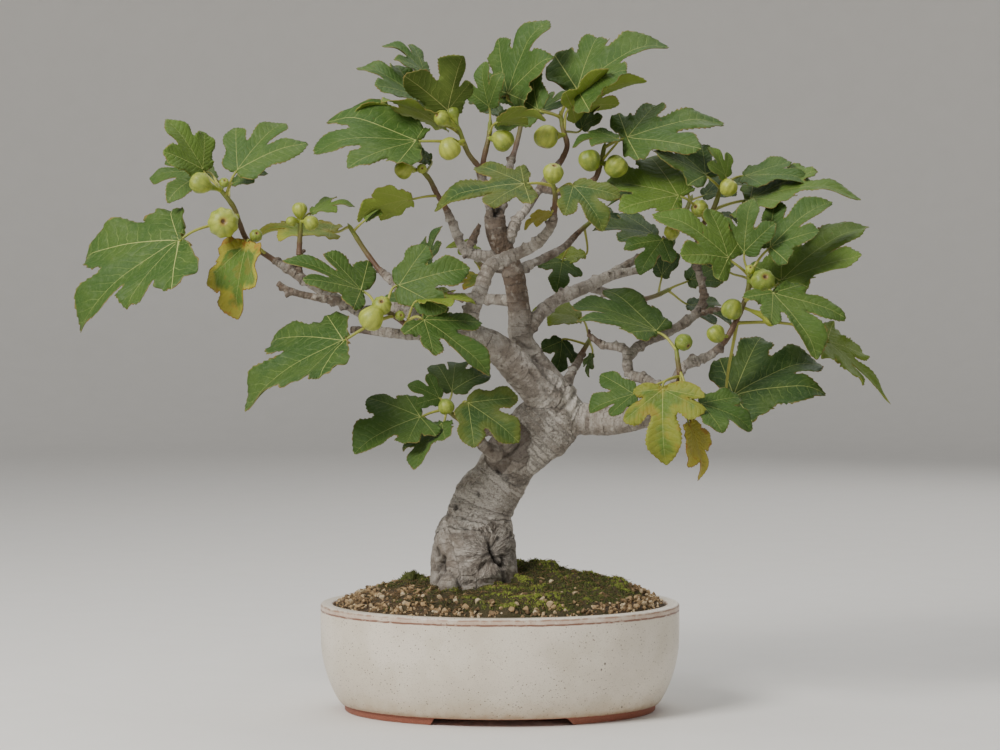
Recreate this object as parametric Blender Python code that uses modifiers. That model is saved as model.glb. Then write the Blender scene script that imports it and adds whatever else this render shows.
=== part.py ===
"""Common fig bonsai: a leaning fig tree with lobed leaves and young figs, in soil, in an oval glazed pot.

Lengths are in millimetres until MM turns them into metres. +X is to the right in the front view, +Y is
away from the viewer and +Z is up. Z is 0 under the pot's feet.
"""

import math

import bmesh
import bpy
from mathutils import Matrix, Vector

MM = 0.001
GAP = 0.3

# Driving dimensions of the pot
POT_LENGTH = 360.0
POT_WIDTH = 280.0
POT_HEIGHT = 108.0
POT_SEGMENTS = 28
FOOT_HEIGHT = 7.4
FLOOR_TOP = 18.0
DRAIN_RADIUS = 13.0
DRAIN_ACROSS = 82.0
SCREEN_SIZE = 36.0
SCREEN_THICK = 1.2

# Driving dimensions of the soil mound
SOIL_EDGE = 105.0
SOIL_RISE = 22.0
MOUND_RISE = 20.0
MOUND_PLACE = (36.0, 32.0)
MOUND_SPREAD = 58.0
TRUNK_ROOM = 0.5

# Radii below which a limb is drawn with fewer sides
THIN_TWIG = 4.7
THICK_LIMB = 12.5

# Driving dimensions of the foliage
BLADE_THICK = 0.8
PETIOLE_RADIUS = 1.35
SHOOT_RADIUS = 2.7
SHOOT_TIP_RADIUS = 2.0
BUD_LENGTH = 6.0
BUD_TIP_RADIUS = 0.5
FIG_SIDES = 6

# A leaf lies in its own plane: u across, v along the midrib to the tip, both in blade lengths.
# The places of the five lobe tips, from the lower right one round to the lower left one, and how far a
# tip may lie from its place. A side's only tip is its lower one past BASAL_ANGLE from the midrib.
LOBE_TIPS = ((0.50, -0.02), (0.546, 0.585), (0.0, 1.0), (-0.546, 0.585), (-0.50, -0.02))
LOBE_DRIFT = 0.3
BASAL_ANGLE = math.radians(72)

# How far a leaf's pose is drawn from what its tips say towards full face
FACING_SHARE = 0.25

# The blade's edge and its bend
SINUS_DEPTHS = (0.55, 0.46, 0.46, 0.55)
LOBE_SHOULDER = 0.74
LOBE_HALF_WIDTH = 0.215
AURICLE = (0.22, -0.12)
SMALL_AURICLE = (0.27, -0.03)
NOTCH = -0.045
SMALL_LEAF = 72.0
CREASED_LEAF = 98.0
LEAF_ARCH = 0.05
LEAF_FOLD = 0.16
LEAF_SAG = 0.22

# The front view that the branches and leaves are laid out in: where the eye stands, and the height that
# it looks from. Across and up are read in the plane y = 0.
EYE_DISTANCE = 3000.0
EYE_HEIGHT = 465.0

# Each branch runs through (across, up, depth, radius)
TRUNK = [
    (-26, 96, 0, 40),
    (-26, 123, 0, 43),
    (-26, 138, 0, 42),
    (-26, 155, 0, 42),
    (-25, 175, 0, 39.5),
    (-22, 188, 0, 35),
    (-19, 201, 0, 32),
    (-12, 216, 0, 31),
    (0, 231, 0, 28),
    (8, 248, 0, 28),
    (23, 265, 0, 30),
    (45, 285, 0, 32),
    (62, 303, 0, 29),
]
ROOTS = [
    [(-36, 160, -12, 17), (-45, 134, -28, 15), (-50, 112, -36, 11)],
    [(-16, 158, -14, 18), (-12, 134, -30, 14), (-10, 112, -36, 10)],
    [(-8, 160, 0, 16), (6, 138, -12, 13), (12, 114, -16, 9)],
    [(-44, 158, 4, 15), (-60, 132, 2, 14), (-66, 110, 2, 10)],
    [(-24, 158, 14, 18), (-22, 134, 30, 15), (-22, 110, 36, 10)],
    [(-27, 172, -16, 14), (-31, 148, -30, 13), (-33, 126, -37, 8)],
]
LIMBS = {
    "left_thick": [(58, 304, 0, 27), (42, 320, -12, 21), (20, 341, -24, 17.5), (0, 361, -34, 15),
                   (-18, 372, -40, 12.5), (-32, 380, -45, 9)],
    "leader": [(58, 314, 4, 17), (45, 335, 8, 13.5), (21, 372, 10, 12), (19.5, 397.5, 9, 11.5),
               (12.6, 440.5, 6, 11), (-3, 475, 0, 10.5), (-5, 496, 0, 11)],
    "right_low_main": [(58, 304, 0, 25), (73, 294.4, -3, 18), (95, 291, -10, 15.5), (114, 290, -18, 14),
                       (146.8, 294.3, -30, 11), (163, 303, -38, 9), (172, 316, -44, 7)],
    "centre_front": [(-32, 378, -44, 9), (-29, 397.5, -46, 8), (-20, 420, -45, 7.5), (-10, 444, -38, 7),
                     (6, 453, -28, 6.5), (33, 465, -28, 6), (50.5, 483.5, -45, 4.8), (54, 500, -62, 3.6)],
    "top_right": [(-1, 468, 2, 8), (9, 475, 2, 6.5), (17.8, 492, 5, 5), (26, 501, 8, 4.5),
                  (40, 523, 14, 4.2), (60, 549, 20, 3.6)],
    "right_mid": [(21, 372, 10, 9), (33, 389, 14, 7.5), (54, 409.5, 20, 7), (88, 425, 28, 6.5),
                  (110.7, 435.4, 33, 5.5), (138, 441, 38, 4)],
    "upper_left": [(2, 448, 2, 7), (-13.2, 454.3, -3, 6), (-35.6, 461.2, -8, 5.5), (-48, 489, -18, 4.6),
                   (-54, 502, -24, 3.8)],
    "inner_left_stub": [(-33, 460, -8, 4.5), (-30.4, 465, -10, 4), (-20, 487, -16, 2.6)],
    "centre_back": [(12, 438, 8, 6), (40, 451, 30, 4.5), (62.5, 463, 48, 4), (74, 474, 60, 3.3)],
    "inner_right": [(62, 318, 10, 8), (71, 337, 30, 5), (78, 349, 50, 4), (81, 356, 60, 3.3)],
    "right_low": [(170, 312, -43, 5), (174, 318, -54, 4.2), (177, 324, -60, 3.4)],
    "right_tip": [(172, 314, -43, 6.5), (181.5, 342, -42, 5.2), (197, 350, -40, 5), (212, 357, -38, 4.6),
                  (223, 368, -37, 3.6)],
    "right_twisted": [(161, 304, -38, 8), (158, 320, -36, 6), (146.8, 331, -30, 5.5), (129.4, 338, -22, 5),
                      (125, 361.6, -14, 4.8), (103, 366, -6, 4), (88, 377, 0, 2.6)],
    "right_top": [(126, 350, -17, 4.5), (131.6, 357.2, -10, 5.2), (140, 366, -4, 5), (168.5, 379, 4, 5),
                  (190, 392, 12, 4.8), (201, 405, 18, 4.4), (203, 420, 22, 4), (198, 442, 25, 3.8),
                  (197, 461, 25, 3.6), (199, 474, 25, 3.4)],
    "right_stub": [(200, 398, 15, 3.6), (213, 401, 8, 3), (220.5, 402.5, 5, 2.4)],
    "far_left": [(-30, 378, -44, 9), (-60, 386, -48, 7.5), (-81, 395, -50, 7), (-107, 403, -45, 6.5),
                 (-136, 399, -43, 6), (-149, 404, -42, 5.5), (-168, 414.5, -40, 5.2), (-181, 422, -38, 5),
                 (-212.6, 442.5, -33, 4.6), (-226, 451, -30, 3.6)],
    "left_stub": [(-140, 400, -43, 5), (-159, 409.4, -50, 4.5), (-181, 413.2, -56, 4.2),
                  (-209, 419.6, -60, 3.8), (-223, 428.5, -60, 2.8)],
    "left_upper": [(-84, 397, -49, 5.5), (-89, 404.3, -46, 5), (-98, 419.6, -40, 4.6),
                   (-110.6, 432.3, -33, 4.3), (-120, 441, -27, 3.6)],
    "left_lower_stub": [(-32, 378, -46, 8), (-60, 381, -55, 6.5), (-85, 376.2, -62, 5.5),
                        (-117, 379, -60, 4.8), (-150, 382.6, -50, 3)],
    "left_front": [(-82, 377, -61, 4.5), (-86, 380, -68, 4.2), (-89, 382, -71.5, 3.6)],
    "left_mid": [(-201, 436, -35, 4), (-200.5, 448, -34, 3.4), (-200.5, 459, -33.5, 3.1)],
    "low_left_stub": [(8, 250, -8, 11), (-14, 263, -28, 6.5), (-25.4, 274.6, -34, 6), (-35, 278, -37, 5.2)],
    "low_left": [(12, 258, -12, 8), (7.8, 264.7, -22, 5.5), (-2.2, 276.3, -34, 4.8), (-14, 281.2, -42, 4.3),
                 (-26, 284, -46, 3.6)],
    "top_left": [(-5, 488, 0, 7), (-13, 516, -4, 5), (-17.6, 530, -8, 4.5), (-21, 540, -10, 3.6)],
    "top_centre": [(-17, 529, -7, 4), (-17, 537, -2, 3.6), (-17, 542, 0, 3.2)],
    "upper_right": [(40, 523, 14, 4.2), (58, 519, 14, 3.8), (80, 521, 12, 3.6), (92, 530, 11, 3.3)],
    "left_inner": [(12, 440, 6, 6), (-4, 443, 25, 4.5), (-13, 443, 38, 3.6)],
    "back_left": [(18, 410, 12, 7), (-10, 412, 45, 5.5), (-38, 414, 80, 4.5), (-52, 415, 98, 3.6)],
    "back_right": [(88, 425, 30, 5.5), (108, 418, 60, 4.5), (128, 413, 88, 4), (134, 412, 97, 3.4)],
    "back_top": [(-3, 492, 4, 6.5), (4, 520, 30, 5), (10, 545, 58, 4.2), (13, 555, 70, 3.5)],
    "back_upper_right": [(100, 431, 32, 5), (130, 448, 60, 4.4), (158, 463, 84, 4), (166, 470, 92, 3.4)],
}


def leaf(joint, depth, base, tip, lobes=(), under=False, flat=0.4):
    """A leaf as seen from the front: joint is how far along the shoot its petiole starts, from 0 to 1.

    base, tip and lobes are (across, up) at the depth of the base. under shows the lower face. flat is how
    wide it looks where no lobes are given, from 0 for edge-on to 1 for full face.
    """
    return {
        "joint": joint,
        "depth": depth,
        "base": Vector(base),
        "tip": Vector(tip),
        "lobes": [Vector(place) for place in lobes],
        "under": under,
        "flat": flat,
    }


# Each spray: the rest of its shoot as (across, up, depth), then its leaves
SPRAYS = {
    "far_left": (
        [(-251, 469, -28), (-260, 487, -30), (-266, 504, -32), (-279, 521, -34)],
        [
            leaf(0.55, -58, (-321, 471), (-426, 384), [(-417, 446), (-366, 401), (-320, 416), (-323, 492)]),
            leaf(0.1, -50, (-251, 465), (-266, 392), [(-294, 426), (-282, 459), (-240, 422)]),
            leaf(0.95, -34, (-297, 542), (-332, 592), [(-299, 578), (-284, 561)]),
            leaf(0.85, -40, (-262, 541), (-217, 590), [(-191, 566), (-263, 581), (-282, 565)]),
            leaf(0.95, -18, (-295, 539), (-350, 536), [(-336, 547), (-330, 511)]),
            leaf(0.8, -5, (-265, 528), (-232, 538)),
        ],
    ),
    "left_mid": (
        [(-200, 472, -34), (-199, 487, -36)],
        [leaf(0.9, -25, (-187, 499), (-146, 508), flat=0.3)],
    ),
    "left_upper": (
        [(-136, 462, -20), (-148, 481, -18)],
        [
            leaf(0.95, 20, (-170, 479), (-251, 477), flat=0.2),
        ],
    ),
    "left_front": (
        [(-100, 391, -78), (-112, 399, -82), (-122, 403, -84)],
        [
            leaf(0.9, -62, (-139, 421), (-215, 455), [(-178, 455), (-134, 449), (-197, 428)]),
            leaf(0.7, -70, (-101, 426), (-31, 444), [(-103, 468), (-72, 464)]),
            leaf(0.5, -112, (-156, 370), (-258, 302), [(-230, 362), (-165, 393), (-196, 325)]),
            leaf(0.2, -100, (-76, 391), (-9, 339), [(-20, 386), (-68, 354)]),
            leaf(0.15, -84, (-79, 411), (-24, 409), flat=0.25),
        ],
    ),
    "low_left": (
        [(-36, 287.5, -51), (-43, 293, -54), (-52, 300, -58)],
        [
            leaf(0.9, -70, (-80, 294), (-147, 260), [(-134, 309), (-95, 314), (-91, 264)]),
            leaf(0.9, -66, (-58, 287), (-87, 243), [(-52, 270)]),
            leaf(0.95, -48, (-61, 313), (-92, 327), [(-74, 336)]),
            leaf(0.95, -30, (-48, 320), (-44, 352), [(-66, 348), (-9, 338), (-20, 327)]),
            leaf(0.5, -72, (-32, 308), (19, 271), [(19, 311), (-2, 322), (-52, 284)]),
        ],
    ),
    "right_low": (
        [(180, 335, -66), (178, 349, -64), (177, 357, -62)],
        [
            leaf(0.3, -92, (163, 322), (165, 246), [(125, 289), (206, 301), (206, 314), (134, 318)]),
            leaf(0.3, -78, (134, 317), (88, 301), [(101, 336), (110, 295)]),
            leaf(0.4, -86, (190, 286), (204, 231), [(206, 262)]),
            leaf(0.45, -92, (201, 307), (254, 285), [(220, 277), (208, 316)]),
            leaf(0.95, -50, (156, 380), (74, 410), [(76, 390), (125, 377), (105, 421), (167, 391)]),
        ],
    ),
    "right_tip": (
        [(229, 376, -36.5), (236, 390, -36), (242, 403, -36), (248, 421, -33), (248.7, 433, -32)],
        [
            leaf(0.4, -8, (234, 316), (321, 355), [(264, 371), (323, 322), (251, 290), (222, 349)]),
            leaf(0.3, -8, (327, 368), (392, 308), [(368, 352), (360, 324)]),
            leaf(0.95, -45, (228, 453), (157, 502), [(178, 454), (210, 500)]),
            leaf(0.95, -32, (244, 459), (250, 513), [(221, 493)]),
            leaf(0.95, -30, (270, 464), (329, 513), [(278, 507), (318, 476)]),
            leaf(0.8, 0, (281, 430), (366, 488), [(359, 446), (306, 422), (289, 472)]),
            leaf(0.6, -60, (273, 418), (320, 358), [(350, 394), (268, 384)]),
            leaf(0.9, 10, (226, 442), (200, 466), flat=0.6),
        ],
    ),
    "right_top": (
        [(200, 482, 24), (213, 502, 20), (220, 522, 18)],
        [
            leaf(0.5, 60, (254, 513), (358, 522), [(321, 531), (281, 502)]),
            leaf(0.9, 25, (245, 535), (313, 533), [(248, 551), (293, 546), (257, 524)]),
            leaf(0.95, 5, (225, 535), (210, 565), [(226, 558)]),
            leaf(0.9, 0, (205, 536), (140, 583), [(151, 555), (200, 563)]),
            leaf(0.3, -5, (178, 515), (101, 530), [(199, 520), (147, 558)]),
            leaf(0.15, 40, (164, 509), (106, 511), flat=0.25),
        ],
    ),
    "top_right": (
        [(67, 565, 21), (63, 581, 23), (61, 592, 24)],
        [
            leaf(0.95, 20, (77, 621), (162, 674), [(101, 669), (119, 641), (56, 658)]),
            leaf(0.6, 24, (72, 603), (143, 635), under=True, flat=0.45),
            leaf(0.6, 60, (82, 583), (100, 611), flat=0.7),
            leaf(0.9, 35, (8, 617), (41, 693), flat=0.6),
            leaf(0.9, 10, (38, 601), (0, 626), [(56, 634)]),
        ],
    ),
    "top_centre": (
        [(-16, 553, 0), (-11, 574, 2), (-10, 585, 2)],
        [
            leaf(0.95, 5, (-11, 604), (-19, 649), [(-33, 624)]),
            leaf(0.7, -25, (0, 589), (45, 595), under=True, flat=0.35),
        ],
    ),
    "top_left": (
        [(-22, 545, -12), (-32, 558, -16), (-40, 579, -20)],
        [
            leaf(0.9, -20, (-52, 600), (-67, 644), [(-101, 631), (-33, 657)], under=True),
            leaf(0.9, 10, (-84, 614), (-139, 648)),
            leaf(0.95, 40, (-76, 639), (-114, 669)),
            leaf(0.8, 0, (-62, 587), (-155, 600), under=True, flat=0.2),
            leaf(0.6, -45, (-84, 570), (-186, 569), [(-181, 597), (-150, 542), (-101, 544), (-76, 583)]),
        ],
    ),
    "upper_left": (
        [(-63, 517, -28), (-70, 531, -30), (-77, 539, -30)],
        [
            leaf(0.3, -40, (-91, 511), (-144, 497), under=True, flat=0.5),
            leaf(0.8, 10, (-72, 551), (-120, 561)),
        ],
    ),
    "centre_front": (
        [(55, 509, -70), (55, 517, -78), (53, 526, -84)],
        [
            leaf(0.8, -95, (24, 527), (-67, 510), [(-22, 542), (21, 544), (-12, 500)]),
            leaf(0.6, -96, (73, 525), (104, 483), [(120, 512), (64, 492), (98, 533)]),
        ],
    ),
    "upper_right": (
        [(97, 536, 10), (101, 549, 10), (103.5, 561, 10)],
        [
            leaf(0.9, 15, (127, 573), (222, 596), [(120, 596), (159, 604)]),
            leaf(0.5, -4, (116, 572), (72, 568), flat=0.3),
        ],
    ),
    "right_mid": (
        [(155, 453, 42), (168, 466, 45)],
        [
            leaf(0.7, 70, (154, 476), (93, 483)),
            leaf(0.6, 25, (162, 471), (140, 440), [(171, 447), (124, 462)]),
        ],
    ),
    "centre_back": (
        [(81, 481, 67), (88, 487, 72)],
        [
            leaf(0.3, 80, (62, 449), (57, 421), [(82, 434), (37, 444)]),
            leaf(0.6, 100, (83, 456), (49, 449)),
            leaf(0.9, 110, (90, 496), (125, 489)),
        ],
    ),
    "inner_right": (
        [(85, 363, 66), (90, 372, 75)],
        [
            leaf(0.5, 70, (62, 370), (57, 339), [(80, 361)]),
            leaf(0.8, 95, (78, 393), (28, 397)),
        ],
    ),
    "left_inner": (
        [(-18, 446, 50), (-23, 449, 62)],
        [
            leaf(0.8, 80, (-22, 459), (-53, 467)),
            leaf(0.9, 70, (-18, 431), (-51, 426)),
        ],
    ),
    "back_left": (
        [(-60, 415, 112), (-80, 423, 140), (-92, 431, 155)],
        [
            leaf(0.7, 165, (-72, 449), (-60, 486)),
            leaf(0.5, 150, (-54, 393), (-30, 359), flat=0.6),
            leaf(0.9, 180, (-88, 411), (-128, 393)),
        ],
    ),
    "back_right": (
        [(140, 411, 110), (155, 415, 140), (168, 421, 158)],
        [
            leaf(0.9, 170, (190, 431), (235, 449), flat=0.6),
            leaf(0.7, 170, (162, 436), (172, 475), flat=0.6),
            leaf(0.9, 180, (190, 406), (235, 386)),
        ],
    ),
    "back_top": (
        [(15, 561, 80), (20, 581, 105), (22, 596, 118)],
        [
            leaf(0.9, 125, (22, 613), (12, 649), flat=0.7),
            leaf(0.8, 135, (40, 599), (72, 619)),
            leaf(0.8, 120, (2, 596), (-30, 611)),
        ],
    ),
    "back_upper_right": (
        [(172, 476, 100), (184, 496, 125), (190, 511, 138)],
        [
            leaf(0.9, 140, (185, 526), (168, 561)),
            leaf(0.9, 150, (205, 516), (250, 531)),
            leaf(0.6, 150, (165, 506), (125, 521)),
        ],
    ),
}

# The young figs of each spray as (across, up, depth of the centre, radius of the body)
FIGS = {
    "far_left": [(-299, 527.5, -56, 10.5), (-276.4, 488, -54, 15), (-244, 475, -44, 6.5),
                 (-275.5, 528, -46, 5)],
    "left_mid": [(-200, 501, -38, 7.5), (-188.6, 488, -48, 7.5), (-208.4, 489.6, -40, 5.2)],
    "left_front": [(-118.2, 405, -96, 9.5), (-128.4, 393, -104, 12), (-100.4, 395.3, -90, 5)],
    "low_left": [(-54, 304.5, -74, 8)],
    "right_low": [(183.6, 369.2, -64, 8.5)],
    "right_tip": [(262.7, 429.5, -48, 12), (232, 402, -50, 10.5), (216, 377, -58, 9),
                  (270, 393, -28, 8), (250, 441, -42, 5)],
    "right_top": [(228, 523, 2, 9), (199.7, 502.4, 6, 9)],
    "top_right": [(46, 574, 6, 12)],
    "top_centre": [(3, 570.5, -10, 11)],
    "top_left": [(-57.6, 592, -34, 8), (-47, 597, -16, 7), (-50.6, 562, -36, 11)],
    "upper_left": [(-96, 541, -44, 9), (-78, 542, -38, 5)],
    "centre_front": [(53, 537, -98, 10)],
    "upper_right": [(89.4, 550.2, -6, 11), (116, 544, -6, 11.5)],
    "right_mid": [(171.5, 478.4, 32, 8)],
}


def place(across, up, depth):
    """The point at a depth that the eye sees at (across, up) in the plane y = 0."""
    eye = Vector((0.0, -EYE_DISTANCE, EYE_HEIGHT))
    seen = Vector((across, 0.0, up))
    return eye + (seen - eye) * ((EYE_DISTANCE + depth) / EYE_DISTANCE)


def material(name, colour, roughness):
    made = bpy.data.materials.new(name)
    made.use_nodes = True
    shader = made.node_tree.nodes["Principled BSDF"]
    shader.inputs["Base Color"].default_value = (*colour, 1.0)
    shader.inputs["Roughness"].default_value = roughness
    shader.inputs["Metallic"].default_value = 0.0
    return made


def add_object(name, mesh, collection, skin=None):
    obj = bpy.data.objects.new(name, mesh)
    collection.objects.link(obj)
    if skin:
        mesh.materials.clear()
        mesh.materials.append(skin)
    return obj


def applied(obj):
    """The mesh that an object's curve or modifiers make."""
    bpy.context.view_layer.update()
    seen = obj.evaluated_get(bpy.context.evaluated_depsgraph_get())
    return bpy.data.meshes.new_from_object(seen)


def weld(mesh):
    """Close the loose caps of a tube."""
    bm = bmesh.new()
    bm.from_mesh(mesh)
    bmesh.ops.remove_doubles(bm, verts=bm.verts, dist=1e-6)
    bm.to_mesh(mesh)
    bm.free()


def split(mesh):
    """Split bent faces into flat triangles, so that a cut follows them exactly."""
    bm = bmesh.new()
    bm.from_mesh(mesh)
    bmesh.ops.triangulate(bm, faces=bm.faces[:])
    bm.to_mesh(mesh)
    bm.free()


def tube(name, points, radii, rounding, collection):
    """A tube through points, whose bevel rounding gives it 4 + 2 * rounding sides."""
    curve = bpy.data.curves.new(name, "CURVE")
    curve.dimensions = "3D"
    curve.bevel_depth = MM
    curve.bevel_resolution = rounding
    curve.use_fill_caps = True
    spline = curve.splines.new("POLY")
    spline.points.add(len(points) - 1)
    for knot, point, radius in zip(spline.points, points, radii):
        knot.co = (*(point * MM), 1.0)
        knot.radius = radius
    drawn = add_object(name, curve, collection)
    mesh = applied(drawn)
    weld(mesh)
    bpy.data.objects.remove(drawn)
    return add_object(name, mesh, collection)


def join(name, first, others, solver="EXACT"):
    """Union the objects of the collection others with first, and remove them."""
    union = first.modifiers.new("join", "BOOLEAN")
    union.operation = "UNION"
    union.operand_type = "COLLECTION"
    union.collection = others
    union.solver = solver
    first.data = applied(first)
    first.modifiers.clear()
    first.name = name
    for obj in list(others.objects):
        bpy.data.objects.remove(obj)
    bpy.data.collections.remove(others)
    return first


def cut(obj, cutter):
    """Cut a hole in obj, keeping the cutter as a guide."""
    cutter.display_type = "WIRE"
    cutter.hide_render = True
    hole = obj.modifiers.new(cutter.name, "BOOLEAN")
    hole.operation = "DIFFERENCE"
    hole.object = cutter


def new_collection(name):
    made = bpy.data.collections.new(name)
    bpy.context.scene.collection.children.link(made)
    return made


def turned(name, profile, segments, collection):
    """A solid turned round Z from a profile that runs down its outer side."""
    mesh = bpy.data.meshes.new(name)
    edges = [(i, i + 1) for i in range(len(profile) - 1)]
    mesh.from_pydata([(radius * MM, 0.0, height * MM) for radius, height in profile], edges, [])
    obj = add_object(name, mesh, collection)
    screw = obj.modifiers.new("turn", "SCREW")
    screw.steps = segments
    screw.render_steps = segments
    screw.use_merge_vertices = True
    screw.merge_threshold = 0.00005
    return obj


def oval(mesh, least=60.0):
    """Press a turned mesh to the pot's oval, keeping its walls as thick all round."""
    narrower = (POT_LENGTH - POT_WIDTH) / 2
    for vertex in mesh.vertices:
        radius = math.hypot(vertex.co.x, vertex.co.y) / MM
        if radius > least:
            vertex.co.y *= (radius - narrower) / radius
        else:
            vertex.co.y *= (least - narrower) / least


def pot_inside(gap):
    """The pot's inner profile from the floor up to the soil's edge, moved in by a gap."""
    wall = [(150.0, 18.0), (159.0, 26.0), (164.0, 60.0), (166.5, 102.0)]
    return [(radius - gap, height + gap * (height < 30)) for radius, height in wall]


def make_pot(collection, cutters, skin):
    half = POT_LENGTH / 2
    rim = [(169.5, POT_HEIGHT), (176.5, POT_HEIGHT), (half, 103.0)]
    side = [(179.3, 62.0), (176.0, 45.0), (170.5, 27.0), (162.0, 10.0)]
    foot = [(158.5, FOOT_HEIGHT), (155.5, FOOT_HEIGHT), (155.0, 0.0), (139.0, 0.0), (138.5, FOOT_HEIGHT - 1)]
    profile = [(0.0, FLOOR_TOP), *pot_inside(0.0), *rim, *side, *foot, (0.0, FOOT_HEIGHT - 1)]
    pot = turned("pot", profile, POT_SEGMENTS, collection)
    pot.data = applied(pot)
    pot.modifiers.clear()
    oval(pot.data)
    pot.data.materials.append(skin)
    gap = trapezoid_cutter("foot_gap_cutter", (-63.0, 64.0), (-68.0, 72.0), FOOT_HEIGHT - 1, cutters)
    cut(pot, gap)
    for side_name, across in (("left", -DRAIN_ACROSS), ("right", DRAIN_ACROSS)):
        bpy.ops.mesh.primitive_cylinder_add(vertices=12, radius=DRAIN_RADIUS * MM, depth=60 * MM,
                                            location=(across * MM, 0, FLOOR_TOP * MM / 2))
        drain = bpy.context.object
        drain.name = f"drain_cutter_{side_name}"
        move_to(drain, cutters)
        cut(pot, drain)
    pot.data = applied(pot)
    pot.modifiers.clear()
    return pot


def trapezoid_cutter(name, top, bottom, height, collection):
    """A block through the foot ring from front to back, wider at the ground than at the top."""
    bpy.ops.mesh.primitive_cube_add(size=1.0, location=(0, 0, 0))
    block = bpy.context.object
    block.name = name
    for vertex in block.data.vertices:
        ends = top if vertex.co.z > 0 else bottom
        vertex.co.x = ends[1 if vertex.co.x > 0 else 0] * MM
        vertex.co.y *= 2 * POT_WIDTH * MM
        vertex.co.z = (height if vertex.co.z > 0 else -5.0) * MM
    move_to(block, collection)
    return block


def move_to(obj, collection):
    for old in obj.users_collection:
        old.objects.unlink(obj)
    collection.objects.link(obj)


def soil_height(x, y, reach):
    """The mound's height over (x, y), where reach is 0 at its middle and 1 at its edge."""
    dome = max(0.0, 1.0 - reach * reach) ** 0.6
    aside = (x - MOUND_PLACE[0]) ** 2 + (y - MOUND_PLACE[1]) ** 2
    return SOIL_EDGE + SOIL_RISE * dome + MOUND_RISE * dome * math.exp(-aside / MOUND_SPREAD**2)


def make_soil(collection, cutters, skin):
    edge = pot_inside(GAP)
    rings = [(edge[-1][0] * part, SOIL_EDGE) for part in (0.0, 0.45, 0.8)]
    profile = [*rings, *reversed(edge), (0.0, edge[0][1])]
    soil = turned("soil", profile, POT_SEGMENTS, collection)
    soil.data = applied(soil)
    soil.modifiers.clear()
    for vertex in soil.data.vertices:
        if vertex.co.z > SOIL_EDGE * MM - 1e-6:
            reach = math.hypot(vertex.co.x, vertex.co.y) / MM / edge[-1][0]
            squeezed = vertex.co.y / MM * POT_WIDTH / POT_LENGTH
            vertex.co.z = soil_height(vertex.co.x / MM, squeezed, reach) * MM
    oval(soil.data)
    split(soil.data)
    soil.data.materials.append(skin)
    for hole in wood_base("trunk_hole_cutter", cutters, TRUNK_ROOM):
        cut(soil, hole)
    for side_name, across in (("left", -DRAIN_ACROSS), ("right", DRAIN_ACROSS)):
        room = SCREEN_SIZE / 2 + 2 * GAP
        pocket = box(f"screen_pocket_cutter_{side_name}", across, room, FLOOR_TOP - 5,
                     FLOOR_TOP + SCREEN_THICK + 2 * GAP, cutters)
        cut(soil, pocket)
    soil.data = applied(soil)
    soil.modifiers.clear()
    return soil


def box(name, across, half, low, high, collection):
    """A square block of a half width, centred on the pot's long axis."""
    bpy.ops.mesh.primitive_cube_add(size=1.0, location=(0, 0, 0))
    made = bpy.context.object
    made.name = name
    for vertex in made.data.vertices:
        vertex.co.x = (across + 2 * half * vertex.co.x) * MM
        vertex.co.y = 2 * half * vertex.co.y * MM
        vertex.co.z = (high if vertex.co.z > 0 else low) * MM
    move_to(made, collection)
    return made


def make_screen(name, across, collection, skin):
    """A square of mesh over a drainage hole, with a lattice of square openings."""
    low = FLOOR_TOP + GAP
    screen = box(name, across, SCREEN_SIZE / 2, low, low + SCREEN_THICK, collection)
    screen.data.materials.append(skin)
    holes = new_collection(name + "_holes")
    pitch = SCREEN_SIZE / 4.2
    for column in (-1, 1):
        for row in (-1, 1):
            hole = box("hole", across + column * pitch, 6.0, low - 3, low + SCREEN_THICK + 3, holes)
            hole.location.y = row * pitch * MM
    lattice = screen.modifiers.new("holes", "BOOLEAN")
    lattice.operation = "DIFFERENCE"
    lattice.operand_type = "COLLECTION"
    lattice.collection = holes
    screen.data = applied(screen)
    screen.modifiers.clear()
    for hole in list(holes.objects):
        bpy.data.objects.remove(hole)
    bpy.data.collections.remove(holes)
    return screen


def limb(name, knots, rounding, collection, grow=0.0):
    """A tapering limb from (across, up, depth, radius) knots seen from the front."""
    points = [place(*knot[:3]) for knot in knots]
    points[0] += (points[0] - points[1]).normalized() * grow
    points[-1] += (points[-1] - points[-2]).normalized() * grow
    radii = [knot[3] + grow for knot in knots]
    return tube(name, points, radii, rounding, collection)


def gnarl(mesh):
    """Flute and swell the trunk's lower half, most of all at its foot."""
    for vertex in mesh.vertices:
        height = vertex.co.z / MM
        low = min(1.0, max(0.0, (215.0 - height) / 80.0))
        axis = place(-26 + max(0.0, height - 160) * 0.2, height, 0)
        out = Vector((vertex.co.x / MM - axis.x, vertex.co.y / MM, 0.0))
        angle = math.atan2(out.y, out.x)
        swell = 0.05 * math.sin(5 * angle + 0.04 * height) + 0.03 * math.sin(3 * angle - 0.09 * height)
        vertex.co += out * (swell * low * MM)


def wood_base(name, collection, grow=0.0):
    """The trunk and its roots, as they stand in the soil. grow makes them thicker all round."""
    trunk = limb(name, TRUNK, 5, collection, grow)
    gnarl(trunk.data)
    roots = [limb(f"{name}_root_{i}", knots, 2, collection, grow) for i, knots in enumerate(ROOTS)]
    for piece in (trunk, *roots):
        split(piece.data)
    return [trunk, *roots]


def make_wood(collection, skin):
    growth = new_collection("growth_wood")
    trunk = wood_base("wood", growth)[0]
    move_to(trunk, collection)
    for name, knots in LIMBS.items():
        thick = max(knot[3] for knot in knots)
        rounding = 0 if thick < THIN_TWIG else 1 if thick < THICK_LIMB else 2
        limb("limb_" + name, knots, rounding, growth)
    wood = join("wood", trunk, growth)
    wood.data.materials.clear()
    wood.data.materials.append(skin)
    return wood


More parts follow.
